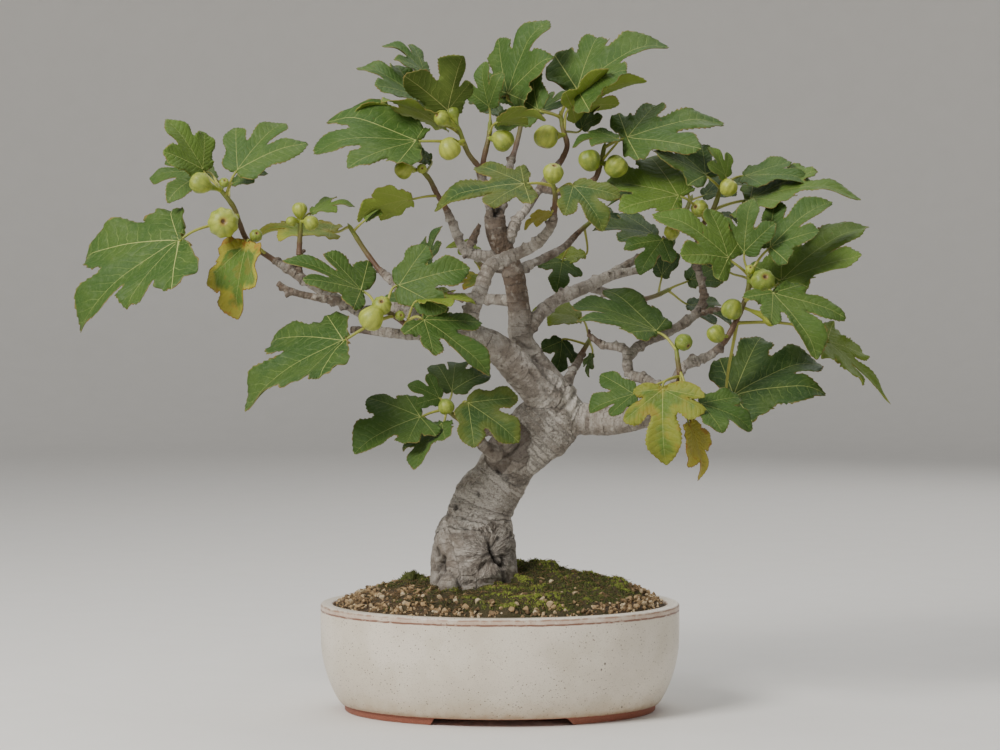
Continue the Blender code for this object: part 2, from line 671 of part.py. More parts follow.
def shoot_path(name, rest):
    """A young shoot's points: it carries on from its limb's end, a small gap away, to its bud."""
    before, end = (place(*knot[:3]) for knot in LIMBS[name][-2:])
    onward = (end - before).normalized()
    path = [end + onward * GAP, end + onward * 3.0, *(place(*point) for point in rest)]
    return [*path, path[-1] + (path[-1] - path[-2]).normalized() * BUD_LENGTH]


def along(path, part):
    """The point a part of the way along a path, from 0 to 1."""
    lengths = [(b - a).length for a, b in zip(path, path[1:])]
    left = part * sum(lengths)
    for a, b, length in zip(path, path[1:], lengths):
        if left <= length:
            return a.lerp(b, left / length)
        left -= length
    return path[-1].copy()


def lobe_slots(v, shown):
    """Which lobe each shown tip is: a side's only tip by its angle, and of two the one nearer the midrib."""
    slots = {}
    for upper, basal, sign in ((3, 4, 1), (1, 0, -1)):
        angles = [(sign * math.atan2(v.x * s.y - v.y * s.x, v.dot(s)), s) for s in shown]
        side = sorted((item for item in angles if item[0] > 0), key=lambda item: item[0])
        if len(side) == 1:
            slots[upper if side[0][0] < BASAL_ANGLE else basal] = side[0][1]
        elif side:
            slots[upper], slots[basal] = side[0][1], side[1][1]
    return slots


def leaf_pose(form):
    """The leaf's size, its axes and the places of its lobe tips in its own plane.

    Seen from the front, the midrib shows as v and the leaf's width as w, the best fit to its tips. Both are
    equally long on the leaf and square to each other, which gives how far each leans away, with the upper
    face skyward.
    """
    v = form["tip"] - form["base"]
    slots = lobe_slots(v, [tip - form["base"] for tip in form["lobes"]])
    square = Vector((v.y, -v.x))
    w = square * form["flat"]
    if slots:
        pull = Vector((0.0, 0.0))
        for slot, seen in slots.items():
            pull += LOBE_TIPS[slot][0] * (seen - v * LOBE_TIPS[slot][1])
        w = (pull / sum(LOBE_TIPS[slot][0] ** 2 for slot in slots)).lerp(square, FACING_SHARE)
    shear = v.dot(w)
    size2 = (v.dot(v) + w.dot(w) + math.sqrt((v.dot(v) - w.dot(w)) ** 2 + 4 * shear**2)) / 2
    v_away = math.sqrt(max(size2 - v.dot(v), 0.0))
    w_away = math.sqrt(max(size2 - w.dot(w), 0.0)) * (-1.0 if shear > 0 else 1.0)
    if (w.x * v_away - w_away * v.x) * (-1.0 if form["under"] else 1.0) < 0:
        v_away, w_away = -v_away, -w_away
    base = place(*form["base"], form["depth"])
    along_leaf = place(*form["tip"], form["depth"] + v_away) - base
    across_leaf = place(*(form["base"] + w), form["depth"] + w_away) - base
    if form["under"]:
        across_leaf = -across_leaf
    size = along_leaf.length
    axis_v = along_leaf / size
    axis_u = (across_leaf - axis_v * across_leaf.dot(axis_v)).normalized()
    frame = Matrix((axis_u, axis_v, axis_u.cross(axis_v))).transposed().to_4x4()
    frame.translation = base
    return frame, size, lobe_places(v, w, slots, form["under"])


def lobe_places(v, w, slots, under):
    """Lobe tips in the leaf's plane: as measured, but never far from a true fig leaf's."""
    spread = w.x * v.y - w.y * v.x
    places = [Vector(tip) for tip in LOBE_TIPS]
    for slot, seen in slots.items():
        if abs(spread) < 1e-6:
            continue
        found = Vector(((seen.x * v.y - seen.y * v.x) / spread, (w.x * seen.y - w.y * seen.x) / spread))
        drift = found - places[slot]
        if drift.length > LOBE_DRIFT:
            drift *= LOBE_DRIFT / drift.length
        places[slot] = places[slot] + drift
    if under:
        places = [Vector((-tip.x, tip.y)) for tip in reversed(places)]
    return places


def blade_outline(lobes, size):
    """The blade's edge, anticlockwise: each lobe's shoulders and tip, and the bay after it.

    A small leaf has three lobes. The last two points are the narrow edge that the leaf stalk grows from.
    """
    small = size < SMALL_LEAF
    bays = SINUS_DEPTHS[1:3] if small else SINUS_DEPTHS
    lobes = lobes[1:4] if small else lobes
    angles = [math.atan2(-tip.x, tip.y) for tip in lobes]
    edge = []
    for i, tip in enumerate(lobes):
        length = tip.length
        near = [abs(angles[j] - angles[i]) for j in (i - 1, i + 1) if 0 <= j < len(lobes)]
        half = min(LOBE_HALF_WIDTH, LOBE_SHOULDER * math.tan(0.42 * min(near))) * length
        left = Vector((-tip.y, tip.x)) / length
        if i > 0 or small:
            edge.append(tip * LOBE_SHOULDER - left * half)
        edge.append(tip)
        if i + 1 < len(lobes) or small:
            edge.append(tip * LOBE_SHOULDER + left * half)
        if i + 1 < len(lobes):
            middle = (angles[i] + angles[i + 1]) / 2
            reach = bays[i] * (length + lobes[i + 1].length) / 2
            edge.append(Vector((-math.sin(middle), math.cos(middle))) * reach)
    across, down = SMALL_AURICLE if small else AURICLE
    stalk = PETIOLE_RADIUS / size
    edge += [Vector((-across, down)), Vector((-stalk, NOTCH)), Vector((stalk, NOTCH)), Vector((across, down))]
    return edge


def blade_rise(u, v, lift):
    """How far the blade stands off its plane: arched along, folded at the midrib, lobes drooping."""
    return lift * (4 * LEAF_ARCH * v * (1 - v) + LEAF_FOLD * abs(u) - LEAF_SAG * u * u)


def make_leaf(name, form, joint, lift, collection):
    """A leaf: its blade as a thin bent sheet, and its stalk drawn out of the blade's notch to the joint."""
    frame, size, lobes = leaf_pose(form)
    outline = blade_outline(lobes, size)
    bm = bmesh.new()
    bmesh.ops.create_circle(bm, cap_ends=True, segments=len(outline), radius=1.0)
    bm.verts.ensure_lookup_table()
    for vertex, point in zip(bm.verts, outline):
        vertex.co = (point.x, point.y, 0.0)
    folds = [((0, 0, 0), (1, 0, 0))]
    if size > CREASED_LEAF:
        folds.append(((0, 0.45, 0), (0, 1, 0)))
    for point, normal in folds:
        geometry = bm.verts[:] + bm.edges[:] + bm.faces[:]
        bmesh.ops.bisect_plane(bm, geom=geometry, dist=1e-5, plane_co=point, plane_no=normal)
    bmesh.ops.triangulate(bm, faces=bm.faces[:])
    for vertex in bm.verts:
        u, v = vertex.co.x, vertex.co.y
        vertex.co = frame @ Vector((u * size, v * size, blade_rise(u, v, lift) * size)) * MM
    mesh = bpy.data.meshes.new(name)
    bm.to_mesh(mesh)
    bm.free()
    leaf_object = add_object(name, mesh, collection)
    thick = leaf_object.modifiers.new("thickness", "SOLIDIFY")
    thick.thickness = BLADE_THICK * MM
    thick.offset = 0.0
    leaf_object.data = applied(leaf_object)
    leaf_object.modifiers.clear()
    draw_stalk(leaf_object.data, frame, size, lift, joint)
    return leaf_object


def stalk_path(frame, size, lift, joint):
    """Points from the blade's notch back to the joint, leaving the blade along its midrib."""
    start = frame @ Vector((0.0, NOTCH * size, blade_rise(0.0, NOTCH, lift) * size))
    back = -(frame.to_3x3() @ Vector((0.0, 1.0, 0.0))).normalized()
    reach = (joint - start).length
    facing = back.dot(joint - start) / reach
    push = (0.14 + 0.2 * max(0.0, facing)) * reach
    bends = [start, start + back * push, joint.lerp(start, 0.3) + Vector((0, 0, 0.06 * reach)), joint]
    points = []
    for t in (0.0, 0.15, 0.55, 1.0) if facing > 0.3 else (0.0, 0.12, 0.45, 1.0):
        s = 1.0 - t
        points.append(s**3 * bends[0] + 3 * s * s * t * bends[1] + 3 * s * t * t * bends[2] + t**3 * bends[3])
    return points


def draw_stalk(mesh, frame, size, lift, joint):
    """Extrude the narrow face at the blade's notch along the stalk's path."""
    points = stalk_path(frame, size, lift, joint)
    across = frame.to_3x3() @ Vector((1.0, 0.0, 0.0))
    normal = frame.to_3x3() @ Vector((0.0, 0.0, 1.0))
    bm = bmesh.new()
    bm.from_mesh(mesh)
    end = min(bm.faces, key=lambda face: (face.calc_center_median() / MM - points[0]).length)
    middle = end.calc_center_median()
    for before, point in zip(points, points[1:]):
        onward = (point - before).normalized()
        side = (across - onward * across.dot(onward)).normalized()
        rise = onward.cross(side)
        signs = [((v.co - middle).dot(across), (v.co - middle).dot(normal)) for v in end.verts]
        end = bmesh.ops.extrude_discrete_faces(bm, faces=[end])["faces"][0]
        for vertex, (a, b) in zip(end.verts, signs):
            offset = side * math.copysign(PETIOLE_RADIUS, a) + rise * math.copysign(PETIOLE_RADIUS, b)
            vertex.co = (point + offset * 0.85) * MM
        middle = end.calc_center_median()
        across = side
        normal = rise
    bmesh.ops.recalc_face_normals(bm, faces=bm.faces[:])
    bm.to_mesh(mesh)
    bm.free()


def make_spray(name, collection, skin):
    """A young shoot with its leaves and figs, grown together as one body."""
    rest, leaves = SPRAYS[name]
    path = shoot_path(name, rest)
    last = len(path) - 2
    radii = [SHOOT_RADIUS + (SHOOT_TIP_RADIUS - SHOOT_RADIUS) * i / last for i in range(last + 1)]
    shoot = tube("spray_" + name, path, [*radii, BUD_TIP_RADIUS], 1, collection)
    growth = new_collection("growth_" + name)
    for number, form in enumerate(leaves):
        lift = 1.0 + 0.3 * math.sin(2.4 * number + len(name))
        make_leaf(f"leaf_{number}", form, along(path, form["joint"]), lift, growth)
    for number, (across, up, depth, radius) in enumerate(FIGS.get(name, [])):
        centre = place(across, up, depth)
        make_fig(f"fig_{number}", nearest_on(path, centre), centre, radius, growth)
    spray = join("spray_" + name, shoot, growth, "MANIFOLD")
    spray.data.materials.clear()
    spray.data.materials.append(skin)
    return spray


def nearest_on(path, point):
    """The point of a path's length, its bud left out, that lies nearest."""
    steps = 60
    tried = (along(path, 0.1 + 0.83 * i / steps) for i in range(steps + 1))
    return min(tried, key=lambda p: (p - point).length)


def make_fig(name, joint, centre, radius, collection):
    """A young fig on a short neck that is rooted in the shoot at the joint."""
    onward = (centre - joint).normalized()
    reach = max((centre - joint).length, radius)
    neck = max(1.6, 0.22 * radius)
    profile = [
        (0.0, reach + 0.93 * radius),
        (0.90 * radius, reach + 0.50 * radius),
        (0.88 * radius, reach - 0.42 * radius),
        (neck + 0.12 * radius, 0.40 * (reach - 0.42 * radius)),
        (neck, 0.0),
        (0.0, 0.0),
    ]
    fig = turned(name, profile, FIG_SIDES, collection)
    fig.data = applied(fig)
    fig.modifiers.clear()
    fig.location = joint * MM
    fig.rotation_mode = "QUATERNION"
    fig.rotation_quaternion = Vector((0, 0, 1)).rotation_difference(onward)
    return fig


def stand_on_origin(collection):
    """Hang every piece from an empty, moved so that the tree's box stands centred on the origin."""
    bpy.context.view_layer.update()
    graph = bpy.context.evaluated_depsgraph_get()
    corners = []
    for obj in collection.objects:
        seen = obj.evaluated_get(graph)
        corners += [obj.matrix_world @ Vector(corner) for corner in seen.bound_box]
    middle = [(min(c[i] for c in corners) + max(c[i] for c in corners)) / 2 for i in (0, 1)]
    anchor = bpy.data.objects.new("bonsai", None)
    collection.objects.link(anchor)
    anchor.location = (-middle[0], -middle[1], 0.0)
    for obj in collection.objects:
        if obj is not anchor:
            obj.parent = anchor
    return anchor


def main():
    for obj in list(bpy.data.objects):
        bpy.data.objects.remove(obj)
    tree = new_collection("fig_bonsai")
    cutters = new_collection("cutters")
    glaze = material("cream_glaze", (0.55, 0.49, 0.42), 0.4)
    earth = material("soil", (0.12, 0.09, 0.05), 0.95)
    bark = material("fig_bark", (0.30, 0.26, 0.22), 0.85)
    green = material("fig_leaf", (0.07, 0.16, 0.045), 0.55)
    mesh_net = material("drain_mesh", (0.03, 0.03, 0.03), 0.6)
    make_pot(tree, cutters, glaze)
    make_soil(tree, cutters, earth)
    make_screen("drain_screen_left", -DRAIN_ACROSS, tree, mesh_net)
    make_screen("drain_screen_right", DRAIN_ACROSS, tree, mesh_net)
    make_wood(tree, bark)
    for name in SPRAYS:
        make_spray(name, tree, green)
    stand_on_origin(tree)


main()
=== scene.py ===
# %% [markdown]
# # A common fig bonsai
# The object is a living tree in a fired pot: a grey leaning trunk, lobed leaves on young shoots, small
# green figs, moss and gravel, and an oval pot with a cream glaze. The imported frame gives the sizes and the
# places, and this notebook makes the look. Everything is modelled in millimetres in the pot's own frame,
# and each finished mesh is scaled to metres and moved to the frame's pot in one last step.

# %% Open the frame
import math
import random
from itertools import zip_longest

import bmesh
import bpy
import numpy as np
from mathutils import Matrix, Quaternion, Vector, kdtree, noise


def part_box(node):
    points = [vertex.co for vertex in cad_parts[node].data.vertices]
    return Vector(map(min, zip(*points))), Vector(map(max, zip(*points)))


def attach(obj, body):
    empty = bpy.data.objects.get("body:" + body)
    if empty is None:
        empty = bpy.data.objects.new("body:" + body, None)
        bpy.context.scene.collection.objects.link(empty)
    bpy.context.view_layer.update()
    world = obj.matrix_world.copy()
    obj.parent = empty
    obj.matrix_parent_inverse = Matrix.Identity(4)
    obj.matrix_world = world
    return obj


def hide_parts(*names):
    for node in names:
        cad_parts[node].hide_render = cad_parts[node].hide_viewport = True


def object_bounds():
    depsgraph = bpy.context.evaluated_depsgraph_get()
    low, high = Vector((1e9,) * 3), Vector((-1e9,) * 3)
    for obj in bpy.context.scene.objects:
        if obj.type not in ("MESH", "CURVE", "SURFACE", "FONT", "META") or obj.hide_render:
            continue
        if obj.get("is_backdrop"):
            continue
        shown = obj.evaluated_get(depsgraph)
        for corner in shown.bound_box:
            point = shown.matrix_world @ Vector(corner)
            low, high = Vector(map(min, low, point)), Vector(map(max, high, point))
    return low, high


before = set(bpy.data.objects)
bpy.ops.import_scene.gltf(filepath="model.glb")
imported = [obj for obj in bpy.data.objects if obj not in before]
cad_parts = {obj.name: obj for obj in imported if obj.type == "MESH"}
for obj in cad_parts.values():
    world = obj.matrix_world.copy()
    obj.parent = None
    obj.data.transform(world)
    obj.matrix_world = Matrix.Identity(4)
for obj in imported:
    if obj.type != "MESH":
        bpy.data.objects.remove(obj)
cad_low, cad_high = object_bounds()
pot_low, pot_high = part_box("pot")
MM = 0.001
ANCHOR = Vector(((pot_low.x + pot_high.x) / 2, (pot_low.y + pot_high.y) / 2, 0.0))
TO_FRAME = Matrix.Translation(ANCHOR) @ Matrix.Scale(MM, 4)
POT_LENGTH, POT_WIDTH, POT_HEIGHT = (pot_high - pot_low) / MM
print(f"pot {POT_LENGTH:.0f} x {POT_WIDTH:.0f} x {POT_HEIGHT:.0f} mm, {len(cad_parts)} nodes")

# %% [markdown]
# The camera stands where the picture was taken from: 3 m in front, a little above the middle of the tree,
# looking down by about two and a half degrees. From there one millimetre at the trunk is one pixel, so a
# place in the picture can be said as millimetres across and up, and how deep it lies.

# %% The camera and the front view
EYE_DISTANCE = 3000.0
EYE_HEIGHT = 465.0
LOOK_HEIGHT = 336.0
LENS = 108.0
FAR_CLIP = 50.0


def seen(across, up, depth):
    """The point at a depth that the eye sees at (across, up) in the plane y = 0."""
    eye = Vector((0.0, -EYE_DISTANCE, EYE_HEIGHT))
    return eye + (Vector((across, 0.0, up)) - eye) * ((EYE_DISTANCE + depth) / EYE_DISTANCE)


def to_scene(name, data):
    """A new object in the scene, made of a mesh, a light or a camera."""
    made = bpy.data.objects.new(name, data)
    bpy.context.scene.collection.objects.link(made)
    return made


camera = to_scene("camera", bpy.data.cameras.new("camera"))
camera.data.lens = LENS
camera.data.clip_end = FAR_CLIP
eye_place = Vector((0.0, -EYE_DISTANCE, EYE_HEIGHT))
camera.location = TO_FRAME @ eye_place
camera.rotation_euler = (Vector((0.0, 0.0, LOOK_HEIGHT)) - eye_place).to_track_quat("-Z", "Y").to_euler()
bpy.context.scene.camera = camera

# %% [markdown]
# Every piece ends the same way: its bmesh becomes an object that rides on the tree's one body and stands
# for its CAD nodes. One function keeps that in one place. Numbers that belong to a vertex, such as how old
# the bark is, are written as named attributes, which the shaders read.

# %% Helpers for meshes
def mesh_from(name, bm):
    """The bmesh as a mesh. The bmesh is freed."""
    mesh = bpy.data.meshes.new(name)
    bm.to_mesh(mesh)
    bm.free()
    return mesh


def absorb(bm, mesh):
    """Add a mesh to a bmesh and discard the mesh."""
    bm.from_mesh(mesh)
    bpy.data.meshes.remove(mesh)


def to_object(name, bm, materials):
    """A mesh object from a bmesh in millimetres, moved into the frame and shaded smooth."""
    mesh = mesh_from(name, bm)
    mesh.transform(TO_FRAME)
    mesh.shade_smooth()
    for material in materials:
        mesh.materials.append(material)
    return to_scene(name, mesh)


def settle(piece, slot, *nodes):
    """The piece rides on the tree and stands for its CAD nodes, which it hides. The slot is not used."""
    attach(piece, "root")
    if nodes:
        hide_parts(*nodes)
    print(f"{piece.name}: {len(piece.data.polygons)} faces")


def applied(obj):
    """The object's mesh with its modifiers applied."""
    bpy.context.view_layer.update()
    shown = obj.evaluated_get(bpy.context.evaluated_depsgraph_get())
    mesh = bpy.data.meshes.new_from_object(shown)
    obj.modifiers.clear()
    obj.data = mesh
    return obj


def write(mesh, name, values):
    """One number for each vertex, which a shader can read by its name."""
    mesh.attributes.new(name, "FLOAT", "POINT").data.foreach_set("value", np.asarray(values, np.float32))


def smooth(x, low, high):
    """0 below low, 1 above high, and an easy curve between."""
    t = min(1.0, max(0.0, (x - low) / (high - low)))
    return t * t * (3 - 2 * t)


def through(knots, between, tight=False):
    """Points on a smooth curve through the knots, with some more between each two. A tight curve keeps
    from swinging past a knot with one near neighbour and one far."""
    path = []
    last = len(knots) - 1
    for i in range(last):
        a, b, c, d = (Vector(knots[min(max(i + k, 0), last)]) for k in (-1, 0, 1, 2))
        leave, arrive = (c - a) / 2, (d - b) / 2
        if tight:
            longest = (c - b).length
            leave, arrive = (way * min(1.0, longest / max(way.length, 1e-9)) for way in (leave, arrive))
        for step in range(between):
            t = step / between
            bend = (3 * (c - b) - 2 * leave - arrive) * t**2 + (2 * (b - c) + leave + arrive) * t**3
            path.append(b + leave * t + bend)
    return [*path, Vector(knots[last])]


# %% [markdown]
# Shader maths reads better as a formula than as a heap of nodes. The class Value wraps a socket, so that
# plus, minus and times add Math nodes, and the class Finish makes a material and any other node in one
# call. Its coordinates are millimetres from the pot's middle, so a grain of 2 mm has a scale of 0.5.

# %% Shaders as formulas
class Value:
    """A socket that takes part in sums."""

    def __init__(self, finish, socket):
        self.finish = finish
        self.socket = socket

    def __add__(self, other):
        return self.finish.math("ADD", self, other)

    def __sub__(self, other):
        return self.finish.math("SUBTRACT", self, other)

    def __mul__(self, other):
        return self.finish.math("MULTIPLY", self, other)

    def __truediv__(self, other):
        return self.finish.math("DIVIDE", self, other)

    def __rsub__(self, other):
        return self.finish.math("SUBTRACT", other, self)

    def __abs__(self):
        return self.finish.math("ABSOLUTE", self)

    __radd__ = __add__
    __rmul__ = __mul__


def srgb(red, green, blue):
    """A colour as read off a screen, from 0 to 255, in the linear light that shaders use."""
    return (*(((c / 255 + 0.055) / 1.055) ** 2.4 if c > 10 else c / 3294.6 for c in (red, green, blue)), 1.0)


PLAIN_SOCKETS = {"roughness": "Roughness", "gloss": "Specular IOR Level", "coat": "Coat Weight",
                 "coat_roughness": "Coat Roughness"}


class Finish:
    """A material under construction."""

    def __init__(self, name, **plain):
        self.material = bpy.data.materials.new(name)
        self.material.use_nodes = True
        self.tree = self.material.node_tree
        self.shader = self.tree.nodes["Principled BSDF"]
        for socket, number in plain.items():
            self.shader.inputs[PLAIN_SOCKETS[socket]].default_value = number

    def node(self, kind, inputs, output=0, **settings):
        made = self.tree.nodes.new("ShaderNode" + kind)
        for setting, value in settings.items():
            setattr(made, setting, value)
        for socket, value in inputs.items():
            self.feed(made.inputs[socket], value)
        return Value(self, made.outputs[output])

    def feed(self, socket, value):
        if isinstance(value, Value):
            self.tree.links.new(value.socket, socket)
        elif value is not None:
            socket.default_value = value

    def math(self, operation, a, b=None):
        return self.node("Math", {0: a, 1: b}, operation=operation)

    def place(self):
        """Millimetres from the pot's middle."""
        here = self.node("TexCoord", {}, output="Object")
        scale = 1.0 / MM
        shift = [-a * scale for a in ANCHOR]
        return self.node("Mapping", {"Vector": here, "Scale": [scale] * 3, "Location": shift})

    def axes(self, where):
        """The three numbers of a place."""
        split = self.node("SeparateXYZ", {0: where}).socket.node
        return [Value(self, socket) for socket in split.outputs]

    def noise(self, where, scale, detail=2.0, roughness=0.5):
        inputs = {"Vector": where, "Scale": scale, "Detail": detail, "Roughness": roughness}
        return self.node("TexNoise", inputs)

    def cells(self, where, scale, feature="F1"):
        return self.node("TexVoronoi", {"Vector": where, "Scale": scale}, output="Distance", feature=feature)

    def ease(self, value, low, high, start=0.0, end=1.0):
        """start below low, end above high, and an easy curve between."""
        inputs = {"Value": value, "From Min": low, "From Max": high, "To Min": start, "To Max": end}
        return self.node("MapRange", inputs, interpolation_type="SMOOTHSTEP")

    def mixed(self, share, first, second):
        """A number between two others."""
        return self.node("Mix", {0: share, 2: first, 3: second}, output=0, data_type="FLOAT")

    def blend(self, share, first, second):
        return self.node("Mix", {0: share, 6: first, 7: second}, output=2, data_type="RGBA")

    def tint(self, colour, share, red, green, blue):
        """The colour with a share of another."""
        return self.blend(share, colour, srgb(red, green, blue))

    def ramp(self, value, stops):
        """The colour that eases from each stop, a place and a colour, to the next."""
        colour = srgb(*stops[0][1])
        for (low, _), (high, shade) in zip(stops, stops[1:]):
            colour = self.tint(colour, self.ease(value, low, high), *shade)
        return colour

    def number(self, name):
        return self.node("Attribute", {}, output="Fac", attribute_name=name)

    def done(self, colour, roughness=None, height=None, depth=0.3):
        """height is in millimetres, and depth is how strongly it shows."""
        self.feed(self.shader.inputs["Base Color"], colour)
        self.feed(self.shader.inputs["Roughness"], roughness)
        if height:
            bump = self.node("Bump", {"Height": height, "Distance": MM, "Strength": depth})
            self.feed(self.shader.inputs["Normal"], bump)
        return self.material


# %% [markdown]
# The pot is turned like any round bowl and then pressed to an oval, as its maker presses the soft clay. A
# spin of the wall's section gives the round bowl. Its wall leans out from the foot, curves up to a nearly
# upright side and rolls over in a soft rim. Pressing moves each ring in by the same amount at the front
# and back, so the wall keeps its thickness all round.

# %% The pot's bowl
FOOT_HEIGHT = 7.4
FLOOR_TOP = 18.0
RIM_LIP = 3.2
TURN_STEPS = 160
NARROWER = (POT_LENGTH - POT_WIDTH) / 2
OVAL_LEAST = 60.0


def turn(bm, profile, steps):
    """Spin a profile of (radius, height) round Z into a closed skin."""
    verts = [bm.verts.new((radius, 0.0, height)) for radius, height in profile]
    edges = [bm.edges.new(pair) for pair in zip(verts, verts[1:])]
    bmesh.ops.spin(bm, geom=verts + edges, cent=(0, 0, 0), axis=(0, 0, 1), steps=steps,
                   angle=math.tau, use_merge=True)
    bmesh.ops.remove_doubles(bm, verts=bm.verts, dist=1e-4)
    bmesh.ops.recalc_face_normals(bm, faces=bm.faces)


def press_oval(bm):
    """Bring the front and back in, by the same amount for every ring of the wall."""
    for vertex in bm.verts:
        radius = max(math.hypot(vertex.co.x, vertex.co.y), OVAL_LEAST)
        vertex.co.y *= (radius - NARROWER) / radius


def rounded(corner, radius, start, steps=5):
    """A quarter circle of (radius, height) points about a corner's centre, clockwise from an angle."""
    angles = [math.radians(start - 90 * i / steps) for i in range(steps + 1)]
    return [(corner[0] + radius * math.cos(a), corner[1] + radius * math.sin(a)) for a in angles]


half = POT_LENGTH / 2
inside = through([(150, FLOOR_TOP), (159, 26), (163, 45), (165.5, 80), (167.5, 103)], 6)
lip_height = POT_HEIGHT - RIM_LIP
lip = rounded((170.7, lip_height), RIM_LIP, 180) + rounded((176.8, lip_height), RIM_LIP, 90)
side = through([(half, 102.5), (half, 84), (179.3, 62), (176, 44), (170.5, 27), (163, 12),
                (159, FOOT_HEIGHT)], 8)
wall = [*inside, *lip, *side, (0.0, FOOT_HEIGHT - 0.9)]
bowl = bmesh.new()
turn(bowl, [(0.0, FLOOR_TOP), (80.0, FLOOR_TOP), *wall], TURN_STEPS)
press_oval(bowl)

# %% [markdown]
# The glaze is a warm cream. Iron in the clay comes through it as fine brown specks and a thin brown line
# where it breaks over the rim's edge, and it runs out above the foot in a tan edge over bare red-brown
# clay. All of that follows the height and the specks' own cells, so it is one material.

# %% The pot's glaze and clay
DRAIN_ACROSS = 82.0
DRAIN_RADIUS = 13.0
DRILL_LENGTH = 40.0
DRILL_STEPS = 40
BREAK_LINE = 101.4
PITS = [(101.5, 61.5), (98.0, 56.0), (119.0, 15.0)]


def glaze():
    f = Finish("cream_glaze", coat=0.25, coat_roughness=0.35)
    here = f.place()
    across, deep, height = f.axes(here)
    cloud = f.noise(here, 0.018, 3.0)
    drift = f.noise(here, 0.12, 3.0)
    grain = f.noise(here, 1.6, 2.0)
    cream = f.blend(f.ease(cloud, 0.35, 0.65), srgb(212, 202, 184), srgb(228, 219, 203))
    cream = f.tint(cream, f.ease(grain, 0.35, 0.75) * 0.4, 186, 174, 152)
    warm = f.ease(height + drift * 22.0, 14.0, 44.0, 1.0, 0.0)
    cream = f.tint(cream, warm * 0.5, 178, 154, 118)
    low = f.ease(height + drift * 10.0, 11.0, 20.0, 1.0, 0.0)
    cream = f.tint(cream, low * 0.6, 160, 124, 82)
    sown = f.ease(f.noise(here, 0.03, 3.0), 0.34, 0.6, 0.5, 1.0)
    specks = f.cells(here, 0.24)
    cream = f.tint(cream, f.ease(specks, 0.10, 0.19, 0.85, 0.0) * sown, 90, 64, 40)
    dots = f.cells(here, 0.5)
    cream = f.tint(cream, f.ease(dots, 0.14, 0.25, 0.5, 0.0) * sown, 128, 102, 72)
    wobble = f.noise(here, 0.09, 2.0) * 1.6
    line = f.ease(abs(height + wobble - (BREAK_LINE + 0.8)), 0.5, 1.3, 1.0, 0.0)
    line = line * f.ease(f.noise(here, 0.2, 2.0), 0.3, 0.5, 0.45, 0.95)
    flush = f.ease(abs(height + wobble - (BREAK_LINE + 2.6)), 0.6, 4.0, 0.55, 0.0)
    cream = f.tint(cream, flush * f.ease(drift, 0.3, 0.6, 0.4, 1.0), 178, 136, 112)
    cream = f.tint(cream, line, 118, 76, 56)
    thin = f.ease(abs(height + wobble - (POT_HEIGHT - 1.2)), 0.4, 1.3, 1.0, 0.0)
    cream = f.tint(cream, thin * f.ease(drift, 0.35, 0.6, 0.3, 0.85), 150, 110, 86)
    pits = None
    for pit_across, pit_height in PITS:
        far = abs(across - pit_across) + abs(height - pit_height) * 0.6
        pit = f.ease(far + drift * 1.2, 0.9, 2.0, 1.0, 0.0)
        pits = pit if pits is None else f.math("MAXIMUM", pits, pit)
    pits = pits * f.ease(deep, -60.0, -50.0, 1.0, 0.0)
    cream = f.tint(cream, pits, 70, 52, 36)
    clay = f.blend(f.ease(grain, 0.3, 0.7), srgb(126, 70, 52), srgb(160, 98, 76))
    clay = f.tint(clay, f.ease(height + drift * 3.0, 1.4, 2.6, 0.55, 0.0), 190, 172, 156)
    bare = f.ease(height + f.noise(here, 0.25) * 1.4, FOOT_HEIGHT + 0.9, FOOT_HEIGHT + 1.6, 1.0, 0.0)
    colour = f.blend(bare, cream, clay)
    rough = bare * 0.35 + 0.34 + f.ease(grain, 0.3, 0.8, 0.0, 0.12)
    relief = f.noise(here, 0.35, 3.0) * 0.5 + grain * 0.08 - f.ease(specks, 0.1, 0.2, 0.3, 0.0) - pits * 0.8
    return f.done(colour, rough, relief, 0.35)


pot = to_object("pot_body", bowl, [glaze()])
for side_sign in (-1, 1):
    drill = bmesh.new()
    bmesh.ops.create_cone(drill, cap_ends=True, segments=DRILL_STEPS, depth=DRILL_LENGTH,
                          radius1=DRAIN_RADIUS, radius2=DRAIN_RADIUS,
                          matrix=Matrix.Translation((side_sign * DRAIN_ACROSS, 0, FLOOR_TOP / 2)))
    cutter = to_object("drill", drill, [])
    bore = pot.modifiers.new("drain", "BOOLEAN")
    bore.operation = "DIFFERENCE"
    bore.object = cutter
    applied(pot)
    bpy.data.objects.remove(cutter)

# %% [markdown]
# Two C-shaped feet carry the bowl. They are one turned ring with its front and back cut away on a slant,
# so one half is cut from the ring and closed at both ends. The clay is bare there, and its arrises are
# worn round.

# %% The feet
FOOT_OUTER = 156.0
FOOT_INNER = 139.0
FOOT_ENDS = {-1: (-63.5, -68.0), 1: (64.5, 72.0)}


